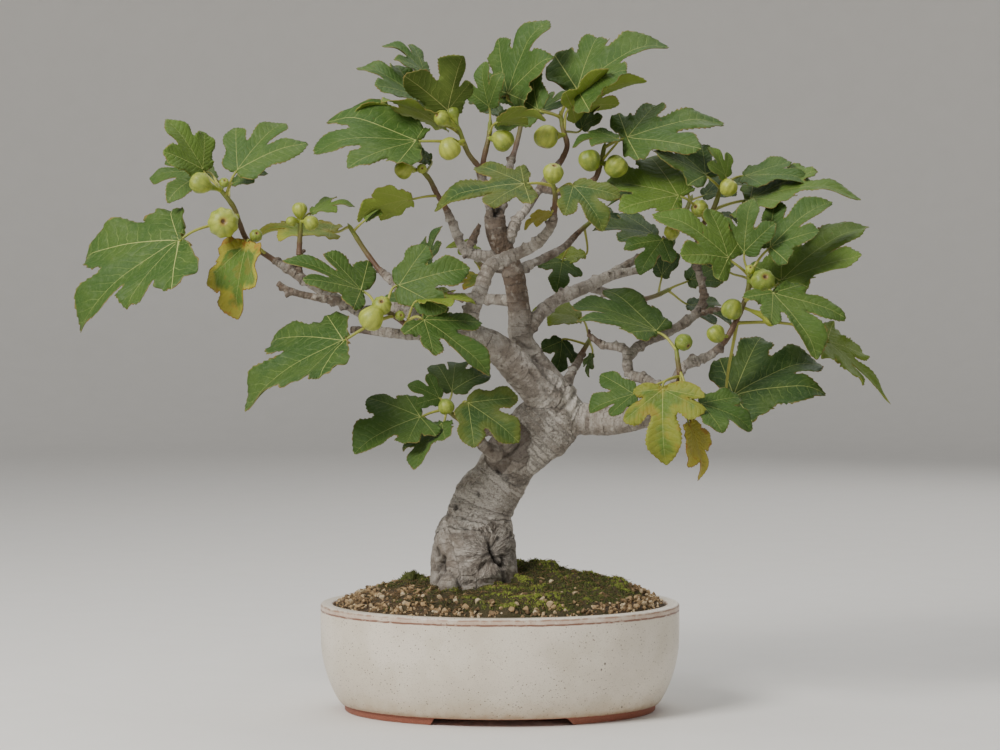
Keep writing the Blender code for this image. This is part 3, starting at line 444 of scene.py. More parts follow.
def add_foot(bm, sign):
    """A C-shaped foot on one side, from the whole ring."""
    foot = bmesh.new()
    ring = [(FOOT_INNER, FOOT_HEIGHT), (FOOT_INNER, 0.9), (FOOT_INNER + 1, 0.0), (FOOT_OUTER - 1.2, 0.0),
            (FOOT_OUTER, 1.1), (FOOT_OUTER + 0.6, FOOT_HEIGHT), (FOOT_INNER, FOOT_HEIGHT)]
    turn(foot, ring, TURN_STEPS)
    press_oval(foot)
    top, bottom = FOOT_ENDS[sign]
    slant = Vector((FOOT_HEIGHT * sign, 0.0, abs(bottom) - abs(top))).normalized()
    cut = bmesh.ops.bisect_plane(foot, geom=foot.verts[:] + foot.edges[:] + foot.faces[:], dist=1e-4,
                                 plane_co=(bottom, 0, 0), plane_no=slant, clear_inner=True)
    ends = [item for item in cut["geom_cut"] if isinstance(item, bmesh.types.BMEdge)]
    bmesh.ops.edgeloop_fill(foot, edges=ends)
    bmesh.ops.recalc_face_normals(foot, faces=foot.faces)
    part = mesh_from("foot", foot)
    part.transform(TO_FRAME)
    absorb(bm, part)


whole = bmesh.new()
whole.from_mesh(pot.data)
for sign in FOOT_ENDS:
    add_foot(whole, sign)
whole.to_mesh(pot.data)
whole.free()
pot.data.shade_smooth()
pot.data.set_sharp_from_angle(angle=math.radians(50))
settle(pot, "glaze", "pot")

# %% [markdown]
# A square of black plastic mesh keeps the soil in over each drainage hole. A grid of cells turned into
# struts by the wireframe operator is the mesh itself.

# %% The drain screens
SCREEN_SIZE = 36.0
SCREEN_THICK = 1.2
SCREEN_CELLS = 9


def net():
    f = Finish("drain_mesh")
    worn = f.noise(f.place(), 0.6, 2.0)
    colour = f.blend(worn, srgb(22, 22, 22), srgb(46, 44, 40))
    return f.done(colour, worn * 0.3 + 0.4, worn, 0.2)


net_material = net()
for side_name, side_sign in (("left", -1), ("right", 1)):
    lattice = bmesh.new()
    lift = FLOOR_TOP + 0.3 + SCREEN_THICK / 2
    bmesh.ops.create_grid(lattice, x_segments=SCREEN_CELLS, y_segments=SCREEN_CELLS,
                          size=(SCREEN_SIZE - SCREEN_THICK) / 2,
                          matrix=Matrix.Translation((side_sign * DRAIN_ACROSS, 0, lift)))
    bmesh.ops.wireframe(lattice, faces=lattice.faces[:], thickness=SCREEN_THICK, use_replace=True,
                        use_boundary=True, use_even_offset=True)
    screen = to_object(f"screen_{side_name}", lattice, [net_material])
    settle(screen, "mesh", f"drain_screen_{side_name}")

# %% [markdown]
# The soil is a low mound, highest behind the trunk's right side, and it meets the pot's wall a few
# millimetres under the rim. It is turned in fine rings from the mound's top down to the pot's floor, raised
# by the mound's height and then roughened, because packed soil is lumpy at every scale.

# %% The soil mound
GAP = 0.3
SOIL_EDGE = 105.0
SOIL_RISE = 22.0
HUMPS = [(36.0, 32.0, 58.0, 20.0), (-100.0, 25.0, 42.0, 7.0), (124.0, 18.0, 36.0, 11.0)]
CUSHION_RISE = 5.5
SOIL_REACH = 166.2
SOIL_RINGS = 70
SQUEEZE = POT_WIDTH / POT_LENGTH
ROOT_PLACE = Vector((-26.0, 0.0))


def reach_at(x, y):
    """0 at the mound's middle and 1 at its edge."""
    return math.hypot(x, y / SQUEEZE) / SOIL_REACH


def from_root(x, y):
    """How far a point lies from the middle of the trunk's foot."""
    return (Vector((x, y)) - ROOT_PLACE).length


def soil_height(x, y, reach):
    """The mound's height over a point."""
    dome = max(0.0, 1.0 - reach * reach) ** 0.6
    humps = sum(rise * math.exp(-((x - a) ** 2 + (y - b) ** 2) / spread**2) for a, b, spread, rise in HUMPS)
    return SOIL_EDGE - 1.5 + (SOIL_RISE + humps) * dome


def front_middle(x, y):
    """1 along the middle of the pot's front, where moss nearly reaches the rim, and 0 elsewhere."""
    return smooth(78 - abs(x - 22), 0.0, 30.0) if y < 0 else 0.0


def mossy(x, y):
    """How mossy the mound is, from 0 to 1: green from the trunk to the right, with patches in front."""
    reach = reach_at(x, y)
    field = noise.fractal(Vector((x, y, 9.0)) * 0.03, 0.8, 2.0, 3)
    right = smooth(x, -60, 0) * smooth(0.93 - reach + 0.2 * field, 0.0, 0.12)
    patches = (((30, -96), (34, 14)), ((-53, -92), (12, 10)))
    front = max(1 - math.hypot((x - at[0]) / wide[0], (y - at[1]) / wide[1]) for at, wide in patches)
    left = 0.8 * smooth(0.8 - reach + 0.3 * field, 0.0, 0.2)
    return min(1.0, max(right, left, 1.8 * front, 0.9 * front_middle(x, y)))


def cushion(x, y):
    """How far a moss cushion stands up, from 0 between the cushions to 1 on the highest."""
    return mossy(x, y) * smooth(noise.fractal(Vector((x, y * 1.2, 6.0)) * 0.045, 0.9, 2.0, 2), -0.15, 0.65)


def ground(x, y):
    """The soil's surface under a point, with its lumps."""
    reach = min(1.0, reach_at(x, y))
    lump = noise.fractal(Vector((x, y, 3.0)) * 0.07, 0.7, 2.1, 3) * 3.0
    lump += noise.noise(Vector((x, y, 0)) * 0.4) * 0.5
    lump += CUSHION_RISE * cushion(x, y)
    return soil_height(x, y, reach) + lump * smooth(1.0 - reach, 0.0, 0.06)


def over(x, y, lift):
    """A place a little way over the ground, as a matrix."""
    return Matrix.Translation((x, y, ground(x, y) + lift))


def earth():
    f = Finish("damp_soil", roughness=0.95)
    here = f.place()
    crumb = f.cells(here, 0.6)
    patch = f.noise(here, 0.06, 4.0)
    colour = f.blend(f.ease(crumb, 0.1, 0.7), srgb(30, 23, 15), srgb(84, 66, 44))
    colour = f.tint(colour, f.ease(patch, 0.42, 0.62) * 0.4 + f.number("mossy") * 0.5, 58, 58, 26)
    return f.done(colour, patch * 0.2 + 0.8, crumb + f.noise(here, 1.5), 0.7)


mound = bmesh.new()
rings = [(SOIL_REACH * i / SOIL_RINGS, SOIL_EDGE) for i in range(SOIL_RINGS + 1)]
below = [(163.5, 60.0), (158.5, 26.5), (149.5, FLOOR_TOP + 2.5), (0.0, FLOOR_TOP + 2.5)]
turn(mound, [*rings, *below], TURN_STEPS)
press_oval(mound)
for vertex in mound.verts:
    if vertex.co.z > SOIL_EDGE - 1:
        vertex.co.z = ground(vertex.co.x, vertex.co.y)
soil = to_object("soil_mound", mound, [earth()])
places = [TO_FRAME.inverted() @ vertex.co for vertex in soil.data.vertices]
write(soil.data, "mossy", [mossy(place.x, place.y) for place in places])
settle(soil, "soil", "soil")

# %% [markdown]
# Tan grit lies on the soil, thickest along the pot's edge. A stone is the convex hull of a few scattered
# points with its edges bevelled, which is how crushed rock looks. Eight such stones are made once and
# copied with a turn, a size and a tone of their own.

# %% Grit
STONE_SHAPES = 8
STONES = 1300
STONE_SIZES = (1.4, 4.3)
PEBBLES = [(-33, -107, 5.6, 0.45), (-21, -102, 4.6, 0.95), (16, -107, 4.0, 0.8), (49, -105, 5.0, 0.75)]
chance = random.Random(7)


def stone_shape():
    """A crushed stone about two units across."""
    bm = bmesh.new()
    for _ in range(10):
        ray = Vector((chance.gauss(0, 1), chance.gauss(0, 1), chance.gauss(0, 0.7))).normalized()
        bm.verts.new(ray * chance.uniform(0.82, 1.0))
    bmesh.ops.convex_hull(bm, input=bm.verts)
    bmesh.ops.dissolve_limit(bm, angle_limit=0.25, verts=bm.verts, edges=bm.edges)
    bmesh.ops.bevel(bm, geom=bm.edges[:], offset=0.09, segments=1, profile=0.5, affect="EDGES", material=-1)
    return mesh_from("stone", bm)


def scatter(bm, shape, matrix, tone):
    """Add a copy of a small shape to a bmesh, with its own tone."""
    copy = shape.copy()
    copy.transform(matrix)
    write(copy, "tone", [tone] * len(copy.vertices))
    absorb(bm, copy)


def turned_by_chance():
    first, second, third = [Matrix.Rotation(chance.uniform(0, math.tau), 4, axis) for axis in "ZXY"]
    return first @ second @ third


def stone_share(x, y, reach):
    """How thickly stones lie, from 0 to 1: all along the pot's wall, and thinly in the moss."""
    if reach > 0.92:
        return 1.0
    if reach < 0.84:
        return 0.5 - 0.47 * mossy(x, y)
    return 1.0 - 0.75 * front_middle(x, y)


def grit():
    f = Finish("tan_grit", roughness=0.85)
    here = f.place()
    tone = f.number("tone")
    colour = f.blend(f.ease(tone, 0.0, 0.55), srgb(104, 82, 56), srgb(172, 144, 104))
    colour = f.tint(colour, f.ease(tone, 0.6, 1.0), 200, 182, 148)
    dust = f.noise(here, 0.9, 3.0)
    colour = f.tint(colour, f.ease(dust, 0.4, 0.7) * 0.45, 66, 50, 32)
    return f.done(colour, dust * 0.2 + 0.75, dust, 0.5)


stones = bmesh.new()
shapes = [stone_shape() for _ in range(STONE_SHAPES)]
laid = 0
while laid < STONES:
    angle = chance.uniform(0, math.tau)
    reach = math.sqrt(chance.uniform(0.0, 1.0))
    x = SOIL_REACH * reach * math.cos(angle)
    y = SOIL_REACH * reach * math.sin(angle) * SQUEEZE
    wanted = stone_share(x, y, reach)
    size = chance.uniform(*STONE_SIZES) * (0.75 if reach > 0.955 else 1.0)
    clear = from_root(x, y) > 50 and reach < 1.0 - size / SOIL_REACH
    if not clear or chance.random() > wanted:
        continue
    spot = over(x, y, 0.25 * size)
    flat = Matrix.Diagonal((size, size, size * 0.8, 1.0))
    scatter(stones, shapes[laid % STONE_SHAPES], spot @ turned_by_chance() @ flat, chance.random())
    laid += 1
for x, y, size, tone in PEBBLES:
    turned = over(x, y, 0.45 * size) @ turned_by_chance()
    scatter(stones, shapes[round(size) % STONE_SHAPES], turned @ Matrix.Scale(size, 4), tone)
gravel = to_object("grit", stones, [grit()])
gravel.data.shade_flat()
settle(gravel, "soil")

# %% [markdown]
# Moss grows as cushions of tiny upright shoots. A shoot is a three-sided spike, and a tuft is six of them
# leaning out from one root. Thousands of tufts stand where the mound is mossy, brighter in the patches
# that catch the light and brownish where they dried out on the left. Dry straws lie over all of it.

# %% Moss
TUFTS = 9500
STRAWS = 2200
MOSS_AREA = (150, 116)
TALL_TUFT = Vector((-89.0, 24.0))
TALL_TUFTS = 110
TUFT_SHAPES = 6
SPIKES = 6


def tuft_shape():
    """A tuft of spikes about one unit tall."""
    bm = bmesh.new()
    for i in range(SPIKES):
        lean = Matrix.Rotation(chance.uniform(0.1, 0.9), 4, "Y")
        around = Matrix.Rotation(math.tau * i / SPIKES + chance.uniform(-0.3, 0.3), 4, "Z")
        lift = Matrix.Translation((0, 0, 0.5))
        bmesh.ops.create_cone(bm, cap_ends=False, segments=3, radius1=0.19, radius2=0.0, depth=1.0,
                              matrix=around @ lean @ lift @ Matrix.Scale(chance.uniform(0.7, 1.1), 4))
    return mesh_from("tuft", bm)


def place_by_chance():
    return [chance.uniform(-half_side, half_side) for half_side in MOSS_AREA]


def moss():
    f = Finish("moss", roughness=0.9)
    here = f.place()
    tone = f.number("tone")
    shade = f.noise(here, 0.8, 2.0)
    colour = f.ramp(tone, ((0.0, (66, 56, 30)), (0.45, (84, 92, 32)), (1.0, (140, 152, 56))))
    colour = f.tint(colour, f.ease(tone, -0.8, -0.4, 1.0, 0.0), 134, 106, 68)
    colour = f.blend(f.ease(shade, 0.35, 0.7), colour, f.blend(0.55, colour, srgb(22, 24, 9)))
    return f.done(colour, shade * 0.2 + 0.75)


moss_bm = bmesh.new()
tufts = [tuft_shape() for _ in range(TUFT_SHAPES)]
planted = 0
while planted < TUFTS:
    x, y = place_by_chance()
    share = mossy(x, y)
    if reach_at(x, y) > 0.95 or chance.random() > share**1.5 or from_root(x, y) < 38:
        continue
    bright = max(0.0, 1 - math.hypot((x - 30) / 40, (y + 94) / 20))
    tone = 0.12 + 0.18 * smooth(x, -50, 30) + 0.45 * bright + 0.8 * cushion(x, y) + chance.uniform(-0.2, 0.2)
    height = chance.uniform(1.6, 3.6)
    turned = over(x, y, -0.6) @ Matrix.Rotation(chance.uniform(0, math.tau), 4, "Z")
    shape = tufts[planted % TUFT_SHAPES]
    scatter(moss_bm, shape, turned @ Matrix.Scale(height, 4), min(1.0, max(0.0, tone)))
    planted += 1
for _ in range(TALL_TUFTS):
    x, y = TALL_TUFT + Vector((chance.gauss(0, 6), chance.gauss(0, 4)))
    spot = over(x, y, -0.6)
    height = chance.uniform(0.6, 1.0) * (15.0 - 0.7 * abs(x - TALL_TUFT.x))
    scatter(moss_bm, tufts[0], spot @ Matrix.Scale(max(3.0, height), 4), chance.uniform(0.3, 0.6))
straw = bmesh.new()
bmesh.ops.create_cone(straw, cap_ends=False, segments=3, radius1=0.35, radius2=0.12, depth=1.0)
straw_mesh = mesh_from("straw", straw)
laid = 0
while laid < STRAWS:
    x, y = place_by_chance()
    if reach_at(x, y) > 0.96 or from_root(x, y) < 44:
        continue
    spot = over(x, y, chance.uniform(0.6, 2.6))
    around = Matrix.Rotation(chance.uniform(0, math.tau), 4, "Z")
    lying = around @ Matrix.Rotation(chance.gauss(1.5, 0.3), 4, "Y")
    slender = Matrix.Diagonal((1.0, 1.0, chance.uniform(3.0, 9.0), 1.0))
    scatter(moss_bm, straw_mesh, spot @ lying @ slender, -1.0)
    laid += 1
moss_bed = to_object("moss", moss_bm, [moss()])
settle(moss_bed, "soil")

# %% [markdown]
# The trunk and its limbs grew as one skin, with no seam where a limb leaves. Each run is given by the
# places that it passes in the front view, its depth and its radius. A circle is extruded along a smooth
# curve through them, and the runs are then fused by a voxel remesh, which fills the forks in as
# living wood does.

# %% Where the wood runs
TRUNK = [
    (-26, 96, 0, 40), (-26, 123, 0, 43), (-26, 138, 0, 42), (-26, 155, 0, 42), (-25, 175, 0, 39.5),
    (-22, 188, 0, 35), (-19, 201, 0, 32), (-12, 216, 0, 31), (0, 231, 0, 28), (8, 248, 0, 28),
    (23, 265, 0, 30), (45, 285, 0, 32), (62, 303, 0, 29),
]
ROOTS = [
    [(-36, 160, -12, 17), (-45, 134, -28, 15), (-50, 112, -36, 11)],
    [(-16, 158, -14, 18), (-12, 134, -30, 14), (-10, 112, -36, 10)],
    [(-8, 160, 0, 16), (6, 138, -12, 13), (12, 114, -16, 9)],
    [(-44, 158, 4, 15), (-57, 134, 2, 12), (-62, 110, 2, 9)],
    [(-24, 158, 14, 18), (-22, 134, 30, 15), (-22, 110, 36, 10)],
    [(-27, 172, -16, 14), (-31, 148, -30, 13), (-33, 126, -37, 8)],
]
LIMBS = {
    "left_thick": [(58, 304, 0, 27), (42, 320, -12, 21), (20, 341, -24, 17.5), (0, 361, -34, 15),
                   (-18, 372, -40, 12.5), (-32, 380, -45, 9)],
    "leader": [(58, 314, 4, 17), (45, 335, 8, 13.5), (21, 372, 10, 12), (19.5, 397.5, 9, 11.5),
               (12.6, 440.5, 6, 11), (-3, 475, 0, 10.5), (-5, 496, 0, 11)],
    "right_low_main": [(58, 304, 0, 25), (73, 294.4, -3, 18), (95, 291, -10, 15.5), (114, 290, -18, 14),
                       (146.8, 294.3, -30, 11), (163, 303, -38, 9), (172, 316, -44, 7)],
    "centre_front": [(-32, 378, -44, 9), (-29, 397.5, -46, 8), (-20, 420, -45, 7.5), (-10, 444, -38, 7),
                     (6, 453, -28, 6.5), (33, 465, -28, 6), (50.5, 483.5, -45, 4.8), (54, 500, -62, 3.6)],
    "top_right": [(-1, 468, 2, 8), (9, 475, 2, 6.5), (17.8, 492, 5, 5), (26, 501, 8, 4.5),
                  (40, 523, 14, 4.2), (60, 549, 20, 3.6)],
    "right_mid": [(21, 372, 10, 9), (33, 389, 14, 7.5), (54, 409.5, 20, 7), (88, 425, 28, 6.5),
                  (110.7, 435.4, 33, 5.5), (138, 441, 38, 4)],
    "upper_left": [(2, 448, 2, 7), (-13.2, 454.3, -3, 6), (-35.6, 461.2, -8, 5.5), (-48, 489, -18, 4.6),
                   (-54, 502, -24, 3.8)],
    "inner_left_stub": [(-33, 460, -8, 4.5), (-30.4, 465, -10, 4), (-20, 487, -16, 2.6)],
    "centre_back": [(12, 438, 8, 6), (40, 451, 30, 4.5), (62.5, 463, 48, 4), (74, 474, 60, 3.3)],
    "inner_right": [(62, 318, 10, 8), (71, 337, 30, 5), (78, 349, 50, 4), (81, 356, 60, 3.3)],
    "right_low": [(170, 312, -43, 5), (174, 318, -54, 4.2), (177, 324, -60, 3.4)],
    "right_tip": [(172, 314, -43, 6.5), (181.5, 342, -42, 5.2), (197, 350, -40, 5), (212, 357, -38, 4.6),
                  (223, 368, -37, 3.6)],
    "right_twisted": [(161, 304, -38, 8), (158, 320, -36, 6), (146.8, 331, -30, 5.5), (129.4, 338, -22, 5),
                      (125, 361.6, -14, 4.8), (103, 366, -6, 4), (88, 377, 0, 2.6)],
    "right_top": [(126, 350, -17, 4.5), (131.6, 357.2, -10, 5.2), (140, 366, -4, 5), (168.5, 379, 4, 5),
                  (190, 392, 12, 4.8), (201, 405, 18, 4.4), (203, 420, 22, 4), (198, 442, 25, 3.8),
                  (197, 461, 25, 3.6), (199, 474, 25, 3.4)],
    "right_stub": [(200, 398, 15, 3.6), (213, 401, 8, 3), (220.5, 402.5, 5, 2.4)],
    "far_left": [(-30, 378, -44, 9), (-60, 386, -48, 7.5), (-81, 395, -50, 7), (-107, 403, -45, 6.5),
                 (-136, 399, -43, 6), (-149, 404, -42, 5.5), (-168, 414.5, -40, 5.2), (-181, 422, -38, 5),
                 (-212.6, 442.5, -33, 4.6), (-226, 451, -30, 3.6)],
    "left_stub": [(-140, 400, -43, 5), (-159, 409.4, -50, 4.5), (-181, 413.2, -56, 4.2),
                  (-209, 419.6, -60, 3.8), (-223, 428.5, -60, 2.8)],
    "left_upper": [(-84, 397, -49, 5.5), (-89, 404.3, -46, 5), (-98, 419.6, -40, 4.6),
                   (-110.6, 432.3, -33, 4.3), (-120, 441, -27, 3.6)],
    "left_lower_stub": [(-32, 378, -46, 8), (-60, 381, -55, 6.5), (-85, 376.2, -62, 5.5),
                        (-117, 379, -60, 4.8), (-150, 382.6, -50, 3)],
    "left_front": [(-82, 377, -61, 4.5), (-86, 380, -68, 4.2), (-89, 382, -71.5, 3.6)],
    "left_mid": [(-201, 436, -35, 4), (-200.5, 448, -34, 3.4), (-200.5, 459, -33.5, 3.1)],
    "low_left_stub": [(8, 250, -8, 11), (-14, 263, -28, 6.5), (-25.4, 274.6, -34, 6), (-35, 278, -37, 5.2)],
    "low_left": [(12, 258, -12, 8), (7.8, 264.7, -22, 5.5), (-2.2, 276.3, -34, 4.8), (-14, 281.2, -42, 4.3),
                 (-26, 284, -46, 3.6)],
    "top_left": [(-5, 488, 0, 7), (-13, 516, -4, 5), (-17.6, 530, -8, 4.5), (-21, 540, -10, 3.6)],
    "top_centre": [(-17, 529, -7, 4), (-17, 537, -2, 3.6), (-17, 542, 0, 3.2)],
    "upper_right": [(40, 523, 14, 4.2), (58, 519, 14, 3.8), (80, 521, 12, 3.6), (92, 530, 11, 3.3)],
    "left_inner": [(12, 440, 6, 6), (-4, 443, 25, 4.5), (-13, 443, 38, 3.6)],
    "back_left": [(18, 410, 12, 7), (-10, 412, 45, 5.5), (-38, 414, 80, 4.5), (-52, 415, 98, 3.6)],
    "back_right": [(88, 425, 30, 5.5), (108, 418, 60, 4.5), (128, 413, 88, 4), (134, 412, 97, 3.4)],
    "back_top": [(-3, 492, 4, 6.5), (4, 520, 30, 5), (10, 545, 58, 4.2), (13, 555, 70, 3.5)],
    "back_upper_right": [(100, 431, 32, 5), (130, 448, 60, 4.4), (158, 463, 84, 4), (166, 470, 92, 3.4)],
}


# %% Sweep a circle along a limb
def rings_along(points):
    """A turned circle's frame at each point of a path, none of them twisted against the one before."""
    frames = []
    side = Vector((1.0, 0.0, 0.0))
    for i, point in enumerate(points):
        onward = (points[min(i + 1, len(points) - 1)] - points[max(i - 1, 0)]).normalized()
        if not frames and abs(onward.x) > 0.9:
            side = Vector((0.0, 1.0, 0.0))
        side = (side - onward * side.dot(onward)).normalized()
        frame_here = Matrix((side, onward.cross(side), onward)).transposed().to_4x4()
        frame_here.translation = point
        frames.append(frame_here)
    return frames


def sweep(bm, points, radii, sides):
    """A closed tube through points. Gives back its rings of verts, one for each point."""
    frames = [f @ Matrix.Scale(r, 4) for f, r in zip(rings_along(points), radii)]
    start = bmesh.ops.create_circle(bm, cap_ends=True, segments=sides, radius=1.0, matrix=frames[0])["verts"]
    rings = [start]
    edges = list({edge for vertex in start for edge in vertex.link_edges})
    for before, after in zip(frames, frames[1:]):
        drawn = bmesh.ops.extrude_edge_only(bm, edges=edges)["geom"]
        ring = [item for item in drawn if isinstance(item, bmesh.types.BMVert)]
        edges = [item for item in drawn if isinstance(item, bmesh.types.BMEdge)]
        bmesh.ops.transform(bm, matrix=after @ before.inverted(), verts=ring)
        rings.append(ring)
    bmesh.ops.edgeloop_fill(bm, edges=edges)
    return rings


def run(knots, between=5):
    """A limb's smooth path of points and their radii, from its knots seen from the front."""
    path = through([(*seen(*knot[:3]), knot[3]) for knot in knots], between)
    return [Vector(p[:3]) for p in path], [p[3] for p in path]


# %% [markdown]
# On a fig's grey bark the eye finds rings where old buds and leaves sat, lumps beside the forks, dark
# creases and pits, and at the foot a cleft between two roots. Each point of the skin looks up the nearest
# point of its limb's middle line, which tells how thick the limb is there and how far along it lies. The
# rings and lumps follow from that. The marks that are seen in one place only are lines and spots in the
# front view, which push the skin in or out where it faces the viewer. The darkness of the creases, the pits
# and the marks' dips is painted shade, which each point keeps for the bark's colour.

# %% Fuse the limbs
VOXEL = 1.6
SPUR_GAP = 11.0
SPUR_LIMB = 9.5
GNARL_TOP = 215.0
skeleton = []
growth = bmesh.new()
chance = random.Random(11)


def add_spur(bm, point, onward, radius):
    """A short stub of an old bud or leaf, leaning out from a limb towards its tip."""
    aside = onward.cross(Vector((chance.gauss(0, 1), chance.gauss(0, 1), chance.gauss(0, 1)))).normalized()
    lean = (aside + onward * 0.55).normalized()
    width = min(2.6, 0.42 * radius + 0.5) * chance.uniform(0.8, 1.15)
    far = radius + chance.uniform(2.4, 4.6)
    sweep(bm, [point + lean * far * part for part in (0.3, 0.8, 0.93, 1.0)],
          [width * 1.3, width, width * 0.95, width * 0.5], 8)


for branch, knots in enumerate([TRUNK, *ROOTS, *LIMBS.values()]):
    points, radii = run(knots)
    sweep(growth, points, radii, 32 if branch == 0 else 16)
    travelled, spur_at = 0.0, 9.0
    for before, point, radius in zip([points[0], *points], points, radii):
        travelled += (point - before).length
        skeleton.append((point, radius, travelled, branch))
        if branch > len(ROOTS) and radius < SPUR_LIMB and travelled > spur_at:
            add_spur(growth, point, (point - before).normalized(), radius)
            spur_at = travelled + SPUR_GAP * chance.uniform(0.6, 1.4)
bmesh.ops.recalc_face_normals(growth, faces=growth.faces)


def gnarl(point):
    """Flute and swell the trunk's lower half, most of all at its foot."""
    low = min(1.0, max(0.0, (GNARL_TOP - point.z) / 80.0))
    axis = seen(-26 + max(0.0, point.z - 160) * 0.2, point.z, 0)
    out = Vector((point.x - axis.x, point.y, 0.0))
    angle = math.atan2(out.y, out.x)
    swell = 0.05 * math.sin(5 * angle + 0.04 * point.z) + 0.03 * math.sin(3 * angle - 0.09 * point.z)
    return out * swell * low if out.length < 70 else Vector()


for vertex in growth.verts:
    if vertex.co.z < GNARL_TOP:
        vertex.co += gnarl(vertex.co)
wood = to_object("wood_skin", growth, [])
fuse = wood.modifiers.new("fuse", "REMESH")
fuse.mode = "VOXEL"
fuse.voxel_size = VOXEL * MM
relax = wood.modifiers.new("relax", "SMOOTH")
relax.factor = 0.6
relax.iterations = 3
applied(wood)
print(f"fused wood: {len(wood.data.polygons)} faces")

# %% Marks in the bark
CLEFT = (-9.0, 160.0)
MARK_REACH = 45.0
STOUT = 22.0
# Each mark: its line of (across, up), its width, how far it pushes out, and how dark the painted shadow is
# where it pushes in
MARKS = [
    ([(-11, 166), (-9, 158), (-4, 149), (1, 143)], 2.0, -5.5, 0.9),
    ([(-18, 178), (-11, 168)], 1.4, -1.6, 0.45),
    ([(-2, 172), (-9, 162)], 1.3, -1.6, 0.55),
    ([(3, 153), (2, 143)], 1.9, -3.5, 0.8),
    ([(-9, 158), (-17, 153)], 1.5, -1.8, 0.5),
    ([(-6, 152), (3, 154)], 1.6, -2.0, 0.6),
    ([(-57, 152), (-59, 146), (-57, 140)], 2.6, -4.5, 0.8),
    ([(-61, 146), (-63, 138)], 1.8, -2.5, 0.6),
    ([(-63, 160), (-62, 155)], 2.5, -2.5, 0.7),
    ([(-15, 134), (-8, 137), (-6, 141)], 6.5, 5.0, 0.0),
    ([(-54, 125), (-50, 126)], 6.0, 4.5, 0.0),
    ([(8, 147), (10, 140)], 6.5, 3.5, 0.0),
    ([(-44, 168), (-30, 158), (-24, 150)], 13.0, 3.0, 0.0),
    ([(4, 178), (6, 168)], 9.0, 2.5, 0.0),
    ([(-52, 196), (-30, 189), (-8, 187), (10, 191)], 2.2, -1.6, 0.25),
    ([(-50, 187), (-30, 181), (-5, 180), (12, 184)], 1.7, -1.1, 0.2),
    ([(-54, 178), (-38, 174), (-22, 172)], 1.6, -1.1, 0.25),
    ([(-44, 204), (-43, 203)], 5.5, 2.6, 0.0),
    ([(-44, 204), (-44, 202)], 2.6, -3.0, 0.85),
    ([(-35, 181), (-33, 179)], 3.0, -1.6, 0.4),
    ([(-50, 188), (-34, 189), (-14, 187)], 6.0, 2.4, 0.0),
    ([(-4, 243), (4, 231), (14, 225), (25, 226)], 1.4, -1.4, 0.5),
    ([(-3, 248), (10, 246), (20, 238), (26, 229)], 1.8, 1.2, 0.0),
    ([(-3, 240), (-1, 238)], 1.7, -1.4, 0.85),
    ([(6, 233), (8, 231)], 1.7, -1.4, 0.85),
    ([(-22, 218), (-21, 215)], 1.7, -1.2, 0.8),
    ([(5, 259), (12, 264), (16, 272)], 2.2, 1.6, 0.0),
    ([(4, 254), (12, 258), (19, 266)], 1.4, -1.6, 0.5),
    ([(34, 352), (52, 330), (66, 316)], 2.6, -2.6, 0.35),
    ([(38, 358), (56, 336), (70, 322)], 3.0, 1.6, 0.0),
    ([(30, 340), (42, 326), (52, 312)], 1.8, -1.8, 0.35),
    ([(14, 372), (26, 364), (36, 362)], 1.8, -1.6, 0.4),
    ([(58, 300), (70, 308), (76, 320)], 2.4, -2.2, 0.4),
    ([(-21, 140), (-14, 149), (-4, 148), (2, 139), (5, 127)], 1.8, -2.4, 0.5),
    ([(-65, 127), (-60, 134), (-50, 137), (-43, 131), (-40, 121)], 1.8, -2.4, 0.45),
    ([(-34, 136), (-32, 126)], 4.5, -2.6, 0.15),
    ([(-5, 497), (-5, 500)], 5.5, -6.0, 1.0),
]


def seen_at(point):
    """Where the eye sees a point, in the plane y = 0."""
    share = EYE_DISTANCE / (EYE_DISTANCE + point.y)
    return Vector((point.x * share, EYE_HEIGHT + (point.z - EYE_HEIGHT) * share))


def away_from(spot, line):
    """How far a spot lies from a line of points."""
    least = 1e9
    for a, b in zip(line, line[1:]):
        a, b = Vector(a), Vector(b)
        part = (spot - a).dot(b - a) / (b - a).length_squared
        least = min(least, (spot - a.lerp(b, min(1.0, max(0.0, part)))).length)
    return least


middle_lines = kdtree.KDTree(len(skeleton))
for index, sample in enumerate(skeleton):
    middle_lines.insert(sample[0], index)
middle_lines.balance()


def limb_at(point):
    """At a point: the way out from its limb's middle line, how far off that lies, and the limb's radius,
    way along and number."""
    found = middle_lines.find_n(point, 10)
    near = min(found, key=lambda hit: hit[2] - skeleton[hit[1]][1])
    return (point - near[0]).normalized(), near[2], *skeleton[near[1]][1:]


def ring_crease(travelled, branch, radius, point, out):
    """How many old leaf rings lie below a point, and the ring's crease, swelling and bud there, 0 to 1."""
    spacing = ring_spacing(radius)
    drift = noise.noise(Vector((branch * 5.0, travelled * 0.05, 0.0))) * 0.45
    wobble = noise.noise(point * 0.12) * 0.1
    phase = travelled / spacing + drift + wobble + branch * 0.37
    gap = (phase - round(phase)) * spacing
    bud_way = noise.cell_vector(Vector((round(phase) + 0.5, branch + 0.5, 0.5))) - Vector((0.5, 0.5, 0.5))
    bud = max(0.0, out.dot(bud_way.normalized())) ** 8 * math.exp(-(((gap + 1.5) / 1.6) ** 2))
    return phase, math.exp(-((gap / 0.9) ** 2)), math.exp(-(((gap + 2.2) / 1.5) ** 2)), bud


